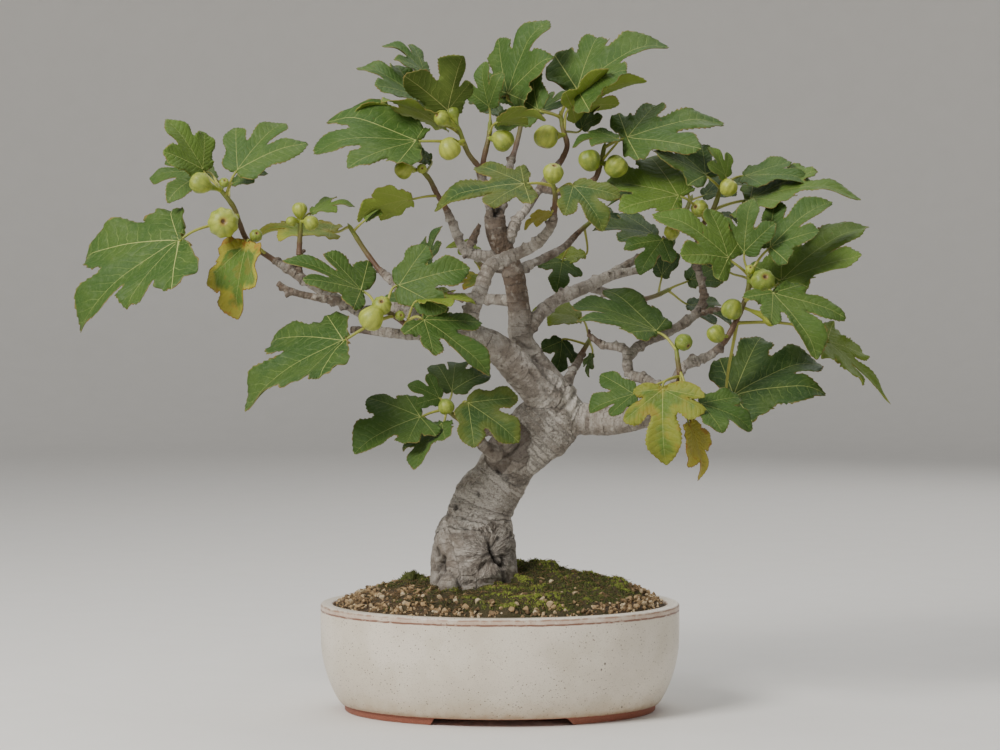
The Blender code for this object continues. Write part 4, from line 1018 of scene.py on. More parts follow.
def folds(point, spot):
    """The creases of the trunk's foot, from 0 to 1: towards the cleft near it, and level elsewhere."""
    aside = spot - Vector(CLEFT)
    near = 1 - smooth(aside.length, 22, 42)
    swirl = noise.noise(point * 0.07) * 2.2
    radial = noise.noise(Vector((math.atan2(aside.y, aside.x) * 6.0 + swirl, aside.length * 0.04, 4.0)))
    level = noise.noise(Vector((point.x * 0.035, point.y * 0.035, point.z * 0.2 + swirl)))
    low = 1 - smooth(point.z, 196, 216)
    return max(near * sharp(radial), (1 - near) * sharp(level) * (0.25 + 0.75 * low))


def sharp(value):
    """1 along the lines where a noise is zero, falling off quickly to both sides."""
    return max(0.0, 1 - abs(value) / 0.34) ** 1.4


def ring_spacing(radius):
    """How far apart the rings lie on a limb, in steps of its thickness."""
    return 6.5 if radius < 5.5 else 9.0 if radius < 9 else 14.0


LEADER = 1 + len(ROOTS) + list(LIMBS).index("leader")
wood.data.transform(TO_FRAME.inverted())
normals = [vertex.normal.copy() for vertex in wood.data.vertices]
traits = {name: [] for name in ("crease", "age", "hollow", "ring", "way", "thick")}
for vertex, normal in zip(wood.data.vertices, normals):
    point = vertex.co.copy()
    out, apart, radius, travelled, branch = limb_at(point)
    rings_passed, crease, swell, bud = ring_crease(travelled, branch, radius, point, out)
    patchy = smooth(noise.noise(point * 0.05 + Vector((0, 0, branch))), -0.35, 0.25)
    old = smooth(radius, 4.0, 14.0)
    slim = 1 - smooth(radius, 8.0, 24.0)
    push = noise.fractal(point * (0.45 / math.sqrt(radius)), 0.8, 2.0, 3) * 0.055 * radius
    push += (swell * 0.7 - crease * 0.6) * (0.4 + 0.6 * patchy) * (0.3 + 0.7 * slim)
    push += bud * 1.2 * slim
    hollow, fold = 0.0, 0.0
    spot = seen_at(point)
    if radius > STOUT:
        fold = folds(point, spot)
        push -= 1.5 * fold
    # A mark that pushes in leaves a painted shadow there, as dark as the mark's last number
    if normal.y < 0.25:
        for line, width, depth, dark in MARKS:
            if abs(spot.x - line[0][0]) > MARK_REACH or abs(spot.y - line[0][1]) > MARK_REACH:
                continue
            share = math.exp(-((away_from(spot, line) / width) ** 2))
            push += depth * share
            hollow = max(hollow, dark * share)
    lichen = noise.noise(point * 0.4)
    pit = smooth(noise.noise(point * 0.33 + Vector((7, 0, 0))), 0.5, 0.7) * old
    push -= pit * 0.6
    vertex.co = point + normal * (push + 0.1 * lichen)
    knob = smooth(apart - radius, 1.0, 2.6) if radius < SPUR_LIMB else 0.0
    # Painted shade in the pits and in the folds of the trunk's foot, with the knobs' own dark brown
    painted_shade_and_knobs = max(0.8 * pit, 0.6 * fold**1.5, 0.7 * knob)
    browned = 0.8 * smooth(point.z, 365, 420) if branch == LEADER else 0.0
    age = smooth(radius, 2.6, 6.0) * (1.0 - browned)
    for values, value in zip(traits.values(), (painted_shade_and_knobs, age, hollow, rings_passed, travelled, radius)):
        values.append(value)
for name, values in traits.items():
    write(wood.data, name, values)
wood.data.transform(TO_FRAME)
wood.data.update()

# %% [markdown]
# Young fig wood is brown, and it turns pale grey with age. The rings that old leaves left run round every
# limb as thin dark lines, with fine wrinkles between them, and corky specks called lenticels, stains and a
# pale bloom lie over that. The wrinkles get painted shade in their troughs and painted light on their
# ridges, and the creases, pits and marked dips get painted shade. The rings follow the way along the limb,
# which each point of the skin carries as an attribute. At the trunk's foot the wrinkles run towards the
# cleft instead, so there they follow the angle round it.

# %% Bark
def wrinkles(f, here):
    """Fine folds round the limbs, and folds that run towards the cleft at the trunk's foot."""
    wobble = f.noise(here, 0.09, 3.0) * 7.0 + f.noise(here, 0.45, 2.0) * 1.6
    way = f.number("way") + wobble
    round_limb = f.node("TexNoise", {"W": way, "Scale": 0.3, "Detail": 4.0}, noise_dimensions="1D")
    across, _, height = f.axes(here)
    sideways, upwards = across - CLEFT[0], height - CLEFT[1]
    turned = f.math("ARCTAN2", upwards, sideways) * 7.0
    reach = f.math("SQRT", sideways * sideways + upwards * upwards)
    polar = f.node("CombineXYZ", {0: turned + f.noise(here, 0.08, 2.0) * 3.0, 1: reach * 0.06})
    to_cleft = f.noise(polar, 1.0, 4.0, 0.6)
    at_foot = f.ease(reach, 18.0, 40.0, 1.0, 0.0)
    return f.mixed(at_foot, round_limb, to_cleft), at_foot


def bark():
    f = Finish("fig_bark", roughness=0.8, gloss=0.3)
    here = f.place()
    age = f.number("age")
    crease = f.number("crease")
    hollow = f.number("hollow")
    cloud = f.noise(here, 0.045, 4.0)
    fine = f.noise(here, 0.42, 5.0, 0.62)
    fold, at_foot = wrinkles(f, here)
    grey = f.blend(f.ease(cloud, 0.36, 0.62), srgb(156, 147, 136), srgb(204, 197, 187))
    twig = f.blend(f.ease(fine, 0.35, 0.65), srgb(78, 60, 48), srgb(126, 106, 88))
    colour = f.blend(f.ease(age + (cloud - 0.5) * 0.9, 0.1, 0.8), twig, grey)
    colour = f.tint(colour, f.ease(fine, 0.46, 0.7, 0.0, 0.4), 92, 78, 64)
    slim = f.ease(f.number("thick"), 14.0, 24.0, 1.0, 0.0)
    colour = f.tint(colour, slim * 0.4, 98, 86, 74)
    stout = 1.0 - slim
    # Painted shade in the wrinkles' troughs and painted light on their ridges, strongest at the trunk's foot
    # and on stout wood
    folded = at_foot * 0.35 + stout * 0.3 + 0.12
    colour = f.tint(colour, f.ease(fold, 0.46, 0.32) * folded, 66, 53, 42)
    colour = f.tint(colour, f.ease(fold, 0.54, 0.7) * folded, 212, 206, 195)
    # A fine groove along each wrinkle, darkened with painted shade
    line = f.ease(abs(fold - 0.5), 0.0, at_foot * 0.035 + 0.02, 1.0, 0.0)
    line = line * (stout * 0.34 + at_foot * 0.4 + 0.08)
    colour = f.tint(colour, line, 62, 48, 38)
    spots = f.cells(here, 0.22) + fine * 0.12
    colour = f.tint(colour, f.ease(spots, 0.13, 0.2, 0.7, 0.0), 78, 62, 50)
    pale = f.ease(f.noise(here, 0.16, 3.0), 0.55, 0.68, 0.0, 0.35)
    colour = f.tint(colour, pale, 204, 198, 186)
    from_ring = abs(f.math("FRACT", f.number("ring") + 0.5) - 0.5)
    patchy = f.ease(f.noise(here, 0.11, 2.0), 0.34, 0.56, 0.25, 1.0)
    ring = f.ease(from_ring, 0.02, 0.075, 1.0, 0.0) * patchy * slim
    band = f.ease(from_ring, 0.085, 0.2, 1.0, 0.0) * patchy * slim
    colour = f.tint(colour, band * 0.12, 206, 198, 184)
    colour = f.tint(colour, ring * 0.6, 72, 56, 45)
    # Painted shade in the pits and the foot's folds, and the knobs' own dark brown
    colour = f.tint(colour, crease * 0.8, 60, 46, 37)
    # Painted shadow in the marks' hollows
    colour = f.tint(colour, hollow, 24, 18, 14)
    relief = fine * 1.6 + fold * (at_foot * 1.2 + stout * 1.6 + 0.6) - line * 1.6 + band * 0.4 - ring * 0.8
    relief = relief - f.ease(spots, 0.1, 0.2, 0.4, 0.0)
    return f.done(colour, fine * 0.2 + 0.7, relief, 1.0)


wood.data.materials.append(bark())
settle(wood, "bark", "wood")

# %% [markdown]
# A fig leaf has three or five rounded lobes with narrow bays between them, a toothed edge, and one strong
# vein down each lobe. Five blades with five lobes and three with three are drawn flat, from deeply cut to
# nearly whole: a smooth curve through the lobes' shoulders and tips, given soft teeth and cut into small
# cells that can bend. Cuts along each lobe's middle keep its vein on an edge of the mesh.

# %% A flat leaf blade
LOBE_TIPS = ((0.50, -0.02), (0.546, 0.585), (0.0, 1.0), (-0.546, 0.585), (-0.50, -0.02))
LOBE_DRIFT = 0.3
LOBE_FLANKS = ((0.46, 0.80), (0.62, 1.0), (0.80, 0.88), (0.93, 0.47))
NOTCH = -0.045
SMALL_LEAF = 72.0
TOOTH_PITCH = 0.058
TOOTH_DEPTH = 0.016
EDGE_STEP = 0.0135
CELL = 0.045
BAY_OPENING = 0.03
BAY_ROUND = 0.045


def lobe_angle(tip):
    """The angle of a lobe from the midrib, positive to the left."""
    return math.atan2(-tip[0], tip[1])


def bay_reach(lobes, bays, i):
    """How far the bottom of the bay after lobe i lies from the blade's base."""
    return bays[i] * (Vector(lobes[i]).length + Vector(lobes[i + 1]).length) / 2


def flank(lobes, bays, i, side, half_width):
    """Points up one side of a lobe, kept clear of the bay on that side so that the bay stays open."""
    tip = Vector(lobes[i])
    left = Vector((-tip.y, tip.x)).normalized()
    points = [tip * far + left * side * half_width * tip.length * wide for far, wide in LOBE_FLANKS]
    bay = i if side > 0 else i - 1
    if not 0 <= bay < len(bays):
        return [point for point in points if point.length > 0.33]
    middle = (lobe_angle(lobes[bay]) + lobe_angle(lobes[bay + 1])) / 2
    into = Vector((-math.sin(middle), math.cos(middle)))
    away = Vector((into.y, -into.x)) * side
    mouth = bay_reach(lobes, bays, bay) + BAY_ROUND
    kept = []
    for point in points:
        past = point.dot(into) - mouth
        if past > 0.02:
            kept.append(point + away * max(0.0, BAY_OPENING + 0.12 * past - point.dot(away)))
    return kept


def blade_knots(lobes, bays, auricle, half_width):
    """The blade's edge, anticlockwise, from the right of the notch to its left."""
    knots = [(0.004, NOTCH + 0.02), (auricle[0] * 0.3, NOTCH - 0.03), (auricle[0], auricle[1])]
    for i, tip in enumerate(lobes):
        right, left = (flank(lobes, bays, i, side, half_width) for side in (-1, 1))
        knots += [*right, tip, *reversed(left)]
        if i < len(bays):
            middle = (lobe_angle(tip) + lobe_angle(lobes[i + 1])) / 2
            reach = bay_reach(lobes, bays, i)
            into = Vector((-math.sin(middle), math.cos(middle)))
            aside = Vector((-into.y, into.x)) * BAY_OPENING
            knots += [into * (reach + BAY_ROUND) - aside, into * reach, into * (reach + BAY_ROUND) + aside]
    return [*knots, (-auricle[0], auricle[1]), (-auricle[0] * 0.3, NOTCH - 0.03), (-0.004, NOTCH + 0.02)]


def evenly(line, step):
    """Points on a line of points, a step apart."""
    made, left = [], 0.0
    for a, b in zip(line, line[1:]):
        length = (b - a).length
        while left < length:
            made.append(a.lerp(b, left / length))
            left += step
        left -= length
    return made


def toothed(edge, seed):
    """The edge with teeth that lean towards the tip of their lobe, no two alike."""
    made, travelled = [], 0.0
    for before, point, after in zip([edge[-1], *edge], edge, [*edge[1:], edge[0]]):
        travelled += (point - before).length
        onward = (after - before).normalized()
        out = Vector((onward.y, -onward.x))
        phase = travelled / TOOTH_PITCH + 0.5 * noise.noise(Vector((travelled * 4, seed, 0)))
        part = phase % 1.0 if onward.dot(point) > 0 else 1.0 - phase % 1.0
        depth = TOOTH_DEPTH * (0.55 + 0.9 * (0.5 + noise.noise(Vector((math.floor(phase) * 1.7, seed, 5.0)))))
        fade = smooth((point - Vector((0, NOTCH))).length, 0.12, 0.3)
        fade *= 1 - smooth(abs(lobe_angle(point)), 1.65, 2.0)
        made.append(point + out * depth * (part**1.4 - 0.45) * fade)
    return made


def flat_blade(lobes, bays, auricle, half_width, seed):
    """A blade of unit length in a mesh, cut into cells, with the UV map lobe along and across each lobe."""
    knots = [Vector((*knot, 0.0)) for knot in blade_knots(lobes, bays, auricle, half_width)]
    drawn = [point.to_2d() for point in through(knots, 8, tight=True)]
    edge = toothed(evenly([*drawn, drawn[0]], EDGE_STEP), seed)
    bm = bmesh.new()
    bmesh.ops.create_circle(bm, cap_ends=True, segments=len(edge), radius=1.0)
    bm.verts.ensure_lookup_table()
    for vertex, point in zip(bm.verts, edge):
        vertex.co = (*point, 0.0)
    bmesh.ops.recalc_face_normals(bm, faces=bm.faces)
    angles = [lobe_angle(tip) for tip in lobes]
    bisectors = [(a + b) / 2 for a, b in zip(angles, angles[1:])]
    cuts = [((0, 0, 0), (math.cos(angle), math.sin(angle), 0)) for angle in [*angles, *bisectors]]
    steps = int(1.2 / CELL)
    cuts += [((0, i * CELL, 0), (0, 1, 0)) for i in range(-steps // 2, steps)]
    cuts += [(((i + 0.5) * CELL, 0, 0), (1, 0, 0)) for i in range(-steps, steps)]
    for place_on, normal in cuts:
        geometry = bm.verts[:] + bm.edges[:] + bm.faces[:]
        bmesh.ops.bisect_plane(bm, geom=geometry, dist=0.002, plane_co=place_on, plane_no=normal)
    bmesh.ops.triangulate(bm, faces=bm.faces[:])
    if sum(face.normal.z for face in bm.faces) < 0:
        bmesh.ops.reverse_faces(bm, faces=bm.faces[:])
    uv = bm.loops.layers.uv.new("lobe")
    for face in bm.faces:
        middle = face.calc_center_median()
        angle = lobe_angle(middle)
        nearest = min(range(len(lobes)), key=lambda i: abs(angles[i] - angle))
        axis = Vector((-math.sin(angles[nearest]), math.cos(angles[nearest])))
        for loop in face.loops:
            point = loop.vert.co.to_2d()
            loop[uv].uv = (point.dot(axis), point.x * axis.y - point.y * axis.x)
    mesh = mesh_from("blade", bm)
    rim = kdtree.KDTree(len(edge))
    for index, point in enumerate(edge):
        rim.insert((*point, 0.0), index)
    rim.balance()
    write(mesh, "margin", [rim.find(vertex.co)[2] for vertex in mesh.vertices])
    return mesh


DEEP, MIDDLING, BROAD, FULL, ONE_SIDED = range(5)
COMMON_KINDS = 3
# Each kind: how deep its bays are cut, from 0 at the leaf stalk to 1, and how wide half a lobe is
FIVE_KINDS = (
    ((0.58, 0.45, 0.47, 0.60), 0.22), ((0.64, 0.53, 0.50, 0.62), 0.25), ((0.72, 0.66, 0.62, 0.7), 0.30),
    ((0.78, 0.77, 0.75, 0.8), 0.34), ((0.66, 0.56, 0.86, 0.92), 0.30),
)
THREE_KINDS = (((0.52, 0.55), 0.25), ((0.60, 0.56), 0.28), ((0.68, 0.66), 0.31))


def flat_blades(tips, auricle, kinds, seed):
    return [flat_blade(tips, bays, auricle, half, seed + i) for i, (bays, half) in enumerate(kinds)]


five = flat_blades(LOBE_TIPS, (0.24, -0.13), FIVE_KINDS, 0)
three = flat_blades(LOBE_TIPS[1:4], (0.27, -0.05), THREE_KINDS, len(FIVE_KINDS))
print(f"five lobes: {len(five[0].polygons)} faces, three lobes: {len(three[0].polygons)} faces")

# %% [markdown]
# Each leaf is given as it shows in the front view: where its blade starts, where its tip and lobe tips
# are, and which face it shows. The blade is really as wide as it is long, so what looks shortened must lean
# away, and that gives its three axes. The flat blade is then stretched to its own lobe tips, arched, folded
# along its veins, drooped at the lobes and waved at the edge.

# %% Leaves as seen from the front
# Leaf tones. Each is partly the leaf's own colour, from dark green to yellowing, and partly painted light:
# the darkest tone is painted shade for leaves inside and behind the crown, a leaf turned from the light has
# its tone raised as painted light, and on a leaf that shows its underside a high tone is painted light
# shining through the blade.
SHADED_LEAF, GREEN, LIGHT, LIME, YELLOW = 0.0, 0.25, 0.5, 0.75, 1.0


def leaf(joint, depth, base, tip, lobes=(), under=False, flat=0.4, tone=GREEN, scorch=0.0, kind=None):
    """A leaf: joint is how far along the shoot its stalk starts, from 0 to 1."""
    return {
        "joint": joint, "depth": depth, "base": Vector(base), "tip": Vector(tip),
        "lobes": [Vector(spot) for spot in lobes], "under": under, "flat": flat, "tone": tone,
        "scorch": scorch, "kind": kind,
    }


# Each spray: the rest of its shoot as (across, up, depth), then its leaves
SPRAYS = {
    "far_left": (
        [(-251, 469, -28), (-260, 487, -30), (-266, 504, -32), (-279, 521, -34)],
        [
            leaf(0.55, -58, (-321, 471), (-426, 384), [(-417, 446), (-364, 400), (-318, 420), (-331, 499)],
                 tone=0.2, kind=BROAD),
            leaf(0.1, -50, (-253, 467), (-265, 392), [(-293, 426), (-241, 424), (-280, 456), (-240, 452)],
                 tone=0.42, scorch=0.9, kind=FULL),
            leaf(0.95, -34, (-297, 542), (-332, 592), [(-299, 578), (-284, 561)], tone=0.45),
            leaf(0.85, -40, (-262, 541), (-217, 590), [(-191, 566), (-263, 581), (-282, 565)]),
            leaf(0.95, -18, (-295, 539), (-350, 536), [(-336, 547), (-330, 511)]),
            leaf(0.8, -5, (-265, 528), (-232, 538)),
            leaf(0.9, 5, (-285, 533), (-310, 551), tone=LIGHT),
        ],
    ),
    "left_mid": (
        [(-200, 472, -34), (-199, 487, -36)],
        [leaf(0.9, -25, (-187, 499), (-146, 508), flat=0.3, tone=LIGHT)],
    ),
    "left_upper": (
        [(-136, 462, -20), (-148, 481, -18)],
        [
            leaf(0.95, 20, (-170, 479), (-251, 477), flat=0.2, tone=LIME, scorch=0.5),
            leaf(0.85, -22, (-133, 492), (-110, 508), tone=LIGHT),
        ],
    ),
    "left_front": (
        [(-100, 391, -78), (-112, 399, -82), (-122, 403, -84)],
        [
            leaf(0.9, -62, (-139, 421), (-215, 455), [(-178, 455), (-134, 449), (-197, 428)]),
            leaf(0.7, -70, (-101, 426), (-31, 444), [(-103, 468), (-72, 464)]),
            leaf(0.5, -112, (-157, 371), (-258, 303), [(-230, 362), (-172, 390), (-212, 314), (-176, 352)],
                 tone=0.14, kind=ONE_SIDED),
            leaf(0.2, -100, (-76, 391), (-9, 339), [(-20, 386), (-68, 354)]),
            leaf(0.15, -84, (-79, 411), (-24, 409), flat=0.25, tone=LIME),
        ],
    ),
    "low_left": (
        [(-36, 287.5, -51), (-43, 293, -54), (-52, 300, -58)],
        [
            leaf(0.9, -70, (-80, 294), (-147, 260), [(-134, 309), (-95, 314), (-91, 264)], kind=BROAD),
            leaf(0.9, -66, (-58, 287), (-87, 243), [(-52, 270)]),
            leaf(0.95, -48, (-61, 313), (-92, 327), [(-74, 336)]),
            leaf(0.95, -30, (-48, 320), (-44, 352), [(-66, 348), (-9, 338), (-20, 327)], tone=SHADED_LEAF),
            leaf(0.5, -72, (-32, 308), (19, 271), [(19, 311), (-2, 322), (-52, 284)], tone=0.08,
                 scorch=0.3, kind=MIDDLING),
        ],
    ),
    "right_low": (
        [(180, 335, -66), (178, 349, -64), (177, 357, -62)],
        [
            leaf(0.3, -92, (163, 322), (165, 246), [(125, 289), (206, 301), (206, 314), (134, 318)], tone=0.5,
                 scorch=0.5, kind=DEEP),
            leaf(0.3, -78, (134, 317), (88, 301), [(101, 336), (110, 295)]),
            leaf(0.4, -86, (190, 286), (204, 231), [(206, 262)], tone=YELLOW, scorch=1.0, kind=BROAD),
            leaf(0.45, -92, (201, 307), (254, 285), [(220, 277), (208, 316)]),
            leaf(0.95, -50, (156, 380), (74, 410), [(76, 390), (125, 377), (105, 421), (167, 391)], tone=0.14,
                 kind=BROAD),
        ],
    ),
    "right_tip": (
        [(229, 376, -36.5), (236, 390, -36), (242, 403, -36), (248, 421, -33), (248.7, 433, -32)],
        [
            leaf(0.4, -8, (234, 316), (321, 355), [(264, 371), (323, 322), (251, 290), (222, 349)], tone=0.05,
                 kind=BROAD),
            leaf(0.3, -8, (327, 370), (392, 308), [(366, 350), (360, 326)], tone=0.62, kind=DEEP),
            leaf(0.95, -45, (228, 453), (157, 502), [(176, 452), (206, 498)], tone=0.42, kind=MIDDLING),
            leaf(0.95, -32, (244, 459), (250, 513), [(221, 493)]),
            leaf(0.95, -30, (270, 464), (329, 513), [(278, 507), (318, 476)]),
            leaf(0.8, 0, (281, 430), (366, 488), [(359, 446), (306, 422), (289, 472)], tone=0.5,
                 kind=MIDDLING),
            leaf(0.6, -60, (273, 418), (320, 358), [(350, 394), (268, 384)], tone=0.36),
            leaf(0.9, 10, (226, 442), (200, 466), flat=0.6, tone=SHADED_LEAF),
        ],
    ),
    "right_top": (
        [(200, 482, 24), (213, 502, 20), (220, 522, 18)],
        [
            leaf(0.5, 36, (250, 512), (358, 524), [(321, 533), (281, 500)], tone=0.4, kind=BROAD),
            leaf(0.9, 48, (245, 535), (313, 533), [(248, 551), (293, 546), (257, 524)]),
            leaf(0.95, 5, (225, 535), (210, 565), [(226, 558)], tone=LIGHT),
            leaf(0.9, 0, (205, 536), (140, 583), [(151, 555), (200, 563)]),
            leaf(0.3, -5, (178, 515), (101, 530), [(199, 520), (147, 558)], tone=LIGHT),
            leaf(0.15, 40, (164, 509), (106, 511), flat=0.25),
            leaf(0.4, 60, (222, 497), (238, 489), tone=SHADED_LEAF),
        ],
    ),
    "top_right": (
        [(67, 565, 21), (63, 581, 23), (61, 592, 24)],
        [
            leaf(0.95, 20, (77, 621), (162, 674), [(101, 669), (119, 641), (56, 658)]),
            leaf(0.6, 24, (72, 603), (143, 635), under=True, flat=0.45, tone=0.8),
            leaf(0.6, 60, (82, 583), (100, 611), flat=0.7, tone=SHADED_LEAF),
            leaf(0.9, 35, (8, 617), (41, 693), flat=0.6),
            leaf(0.9, 10, (38, 601), (0, 626), [(56, 634)]),
        ],
    ),
    "top_centre": (
        [(-16, 553, 0), (-11, 574, 2), (-10, 585, 2)],
        [
            leaf(0.95, 5, (-11, 604), (-19, 649), [(-33, 624)]),
            leaf(0.7, -25, (0, 589), (45, 595), under=True, flat=0.35, tone=0.6),
        ],
    ),
    "top_left": (
        [(-22, 545, -12), (-32, 558, -16), (-40, 579, -20)],
        [
            leaf(0.9, -20, (-52, 600), (-37, 656), [(-98, 633), (-28, 626)], under=True, kind=DEEP),
            leaf(0.9, 10, (-84, 614), (-139, 648)),
            leaf(0.95, 40, (-76, 639), (-114, 669)),
            leaf(0.8, 0, (-62, 587), (-155, 600), under=True, flat=0.2, tone=0.6),
            leaf(0.6, -45, (-84, 570), (-186, 569), [(-181, 597), (-150, 542), (-101, 544), (-76, 583)],
                 kind=BROAD),
            leaf(0.8, 20, (-77, 605), (-102, 601), tone=LIGHT),
        ],
    ),
    "upper_left": (
        [(-63, 517, -28), (-70, 531, -30), (-77, 539, -30)],
        [
            leaf(0.3, -40, (-91, 511), (-144, 497), under=True, flat=0.5, tone=0.85),
            leaf(0.8, 10, (-72, 551), (-120, 561)),
        ],
    ),
    "centre_front": (
        [(55, 509, -70), (55, 517, -78), (53, 526, -84)],
        [
            leaf(0.8, -95, (24, 527), (-67, 510), [(-22, 542), (21, 544), (-12, 500)], tone=0.06, scorch=0.3,
                 kind=DEEP),
            leaf(0.6, -96, (73, 525), (104, 483), [(120, 512), (64, 492), (98, 533)], tone=0.14, scorch=0.3,
                 kind=DEEP),
            leaf(0.1, -66, (49, 497), (23, 484), tone=YELLOW),
        ],
    ),
    "upper_right": (
        [(97, 536, 10), (101, 549, 10), (103.5, 561, 10)],
        [
            leaf(0.9, 15, (127, 573), (222, 596), [(120, 596), (159, 604)]),
            leaf(0.5, -4, (116, 572), (72, 568), flat=0.3),
        ],
    ),
    "right_mid": (
        [(155, 453, 42), (168, 466, 45)],
        [
            leaf(0.7, 70, (154, 476), (93, 483), tone=SHADED_LEAF),
            leaf(0.6, 25, (162, 471), (140, 440), [(171, 447), (124, 462)]),
        ],
    ),
    "centre_back": (
        [(81, 481, 67), (88, 487, 72)],
        [
            leaf(0.3, 80, (62, 449), (57, 421), [(82, 434), (37, 444)]),
            leaf(0.6, 100, (83, 456), (49, 449), tone=LIME),
            leaf(0.9, 110, (90, 496), (125, 489), tone=SHADED_LEAF),
        ],
    ),
    "inner_right": (
        [(85, 363, 66), (90, 372, 75)],
        [
            leaf(0.5, 70, (62, 370), (57, 339), [(80, 361)], tone=SHADED_LEAF),
            leaf(0.8, 95, (78, 393), (28, 397), tone=LIME),
            leaf(0.7, 90, (92, 356), (87, 334)),
        ],
    ),
    "left_inner": (
        [(-18, 446, 50), (-23, 449, 62)],
        [
            leaf(0.8, 80, (-22, 459), (-53, 467), tone=LIME),
            leaf(0.9, 70, (-18, 431), (-51, 426), tone=LIME, scorch=0.8),
        ],
    ),
    "back_left": (
        [(-60, 415, 112), (-80, 423, 140), (-92, 431, 155)],
        [
            leaf(0.7, 165, (-72, 449), (-60, 486), tone=SHADED_LEAF),
            leaf(0.5, 150, (-54, 393), (-30, 359), flat=0.6, tone=SHADED_LEAF),
            leaf(0.9, 180, (-88, 411), (-128, 393)),
        ],
    ),
    "back_right": (
        [(140, 411, 110), (155, 415, 140), (168, 421, 158)],
        [
            leaf(0.9, 170, (190, 431), (235, 449), flat=0.6),
            leaf(0.7, 170, (162, 436), (172, 475), flat=0.6, tone=SHADED_LEAF),
            leaf(0.9, 180, (190, 406), (235, 386), tone=SHADED_LEAF),
        ],
    ),
    "back_top": (
        [(15, 561, 80), (20, 581, 105), (22, 596, 118)],
        [
            leaf(0.9, 125, (22, 613), (12, 649), flat=0.7),
            leaf(0.8, 135, (40, 599), (72, 619), tone=SHADED_LEAF),
            leaf(0.8, 120, (2, 596), (-30, 611), tone=SHADED_LEAF),
        ],
    ),
    "back_upper_right": (
        [(172, 476, 100), (184, 496, 125), (190, 511, 138)],
        [
            leaf(0.9, 140, (185, 526), (168, 561)),
            leaf(0.9, 150, (205, 516), (250, 531), tone=SHADED_LEAF),
            leaf(0.6, 150, (165, 506), (125, 521), tone=SHADED_LEAF),
        ],
    ),
}


# %% The pose of a leaf
BASAL_ANGLE = math.radians(72)
FACING_SHARE = 0.25
UNSEEN_LOBE = 0.86


def lobe_slots(v, shown):
    """Which lobe each shown tip is: a side's only tip by its angle, and of two the one nearer the midrib."""
    slots = {}
    for upper, basal, sign in ((3, 4, 1), (1, 0, -1)):
        angles = [(sign * math.atan2(v.x * s.y - v.y * s.x, v.dot(s)), s) for s in shown]
        side = sorted((item for item in angles if item[0] > 0), key=lambda item: item[0])
        if len(side) == 1:
            slots[upper if side[0][0] < BASAL_ANGLE else basal] = side[0][1]
        elif side:
            slots[upper], slots[basal] = side[0][1], side[1][1]
    return slots


def leaf_pose(form):
    """The leaf's frame, its length and its lobe tips in its own plane, from what the front view shows."""
    v = form["tip"] - form["base"]
    slots = lobe_slots(v, [tip - form["base"] for tip in form["lobes"]])
    square = Vector((v.y, -v.x))
    w = square * form["flat"]
    if slots:
        pull = Vector((0, 0))
        for s, shown in slots.items():
            pull += LOBE_TIPS[s][0] * (shown - v * LOBE_TIPS[s][1])
        w = (pull / sum(LOBE_TIPS[s][0] ** 2 for s in slots)).lerp(square, FACING_SHARE)
    shear = v.dot(w)
    size2 = (v.dot(v) + w.dot(w) + math.sqrt((v.dot(v) - w.dot(w)) ** 2 + 4 * shear**2)) / 2
    v_away = math.sqrt(max(size2 - v.dot(v), 0.0))
    w_away = math.sqrt(max(size2 - w.dot(w), 0.0)) * (-1.0 if shear > 0 else 1.0)
    if (w.x * v_away - w_away * v.x) * (-1.0 if form["under"] else 1.0) < 0:
        v_away, w_away = -v_away, -w_away
    base = seen(*form["base"], form["depth"])
    along_leaf = seen(*form["tip"], form["depth"] + v_away) - base
    across_leaf = seen(*(form["base"] + w), form["depth"] + w_away) - base
    if form["under"]:
        across_leaf = -across_leaf
    size = along_leaf.length
    axis_v = along_leaf / size
    axis_u = (across_leaf - axis_v * across_leaf.dot(axis_v)).normalized()
    frame_here = Matrix((axis_u, axis_v, axis_u.cross(axis_v))).transposed().to_4x4()
    frame_here.translation = base
    return frame_here, size, own_lobes(v, w, slots, form["under"])


def own_lobes(v, w, slots, under):
    """The leaf's lobe tips in its plane: as measured, but never far from a true fig leaf's."""
    spread = w.x * v.y - w.y * v.x
    places = [Vector(tip) for tip in LOBE_TIPS]
    for slot, shown in slots.items():
        if abs(spread) > 1e-6:
            found = Vector(((shown.x * v.y - shown.y * v.x) / spread,
                            (w.x * shown.y - w.y * shown.x) / spread))
            drift = found - places[slot]
            places[slot] += drift * min(1.0, LOBE_DRIFT / max(drift.length, 1e-9))
    for slot in (0, 4):
        places[slot] *= 1.0 if slot in slots else UNSEEN_LOBE
        places[slot].y = max(places[slot].y, -0.4 * abs(places[slot].x))
    return [Vector((-tip.x, tip.y)) for tip in reversed(places)] if under else places


# %% Bend a leaf
LEAF_ARCH = 0.05
LEAF_FOLD = 0.16
LEAF_SAG = 0.22
LOBE_FOLD = 0.20
LOBE_DROOP = 0.10
RIM_WIDTH = 0.09
BLADE_THICK = 0.55


def blade_rise(u, v, lift):
    """How far the blade stands off its plane: arched along, folded at the midrib, lobes drooping."""
    folded = math.sqrt(u * u + 0.0016) - 0.04
    return lift * (4 * LEAF_ARCH * v * (1 - v) + LEAF_FOLD * folded - LEAF_SAG * u * u)


def stretched(point, from_angles, to_angles, lengths):
    """A point of the flat blade, moved with the lobe tips."""
    angle = lobe_angle(point)
    ratio = float(np.interp(angle, from_angles, lengths))
    turned = float(np.interp(angle, from_angles, to_angles))
    reach = math.hypot(point[0], point[1]) * ratio
    return Vector((-math.sin(turned) * reach, math.cos(turned) * reach))


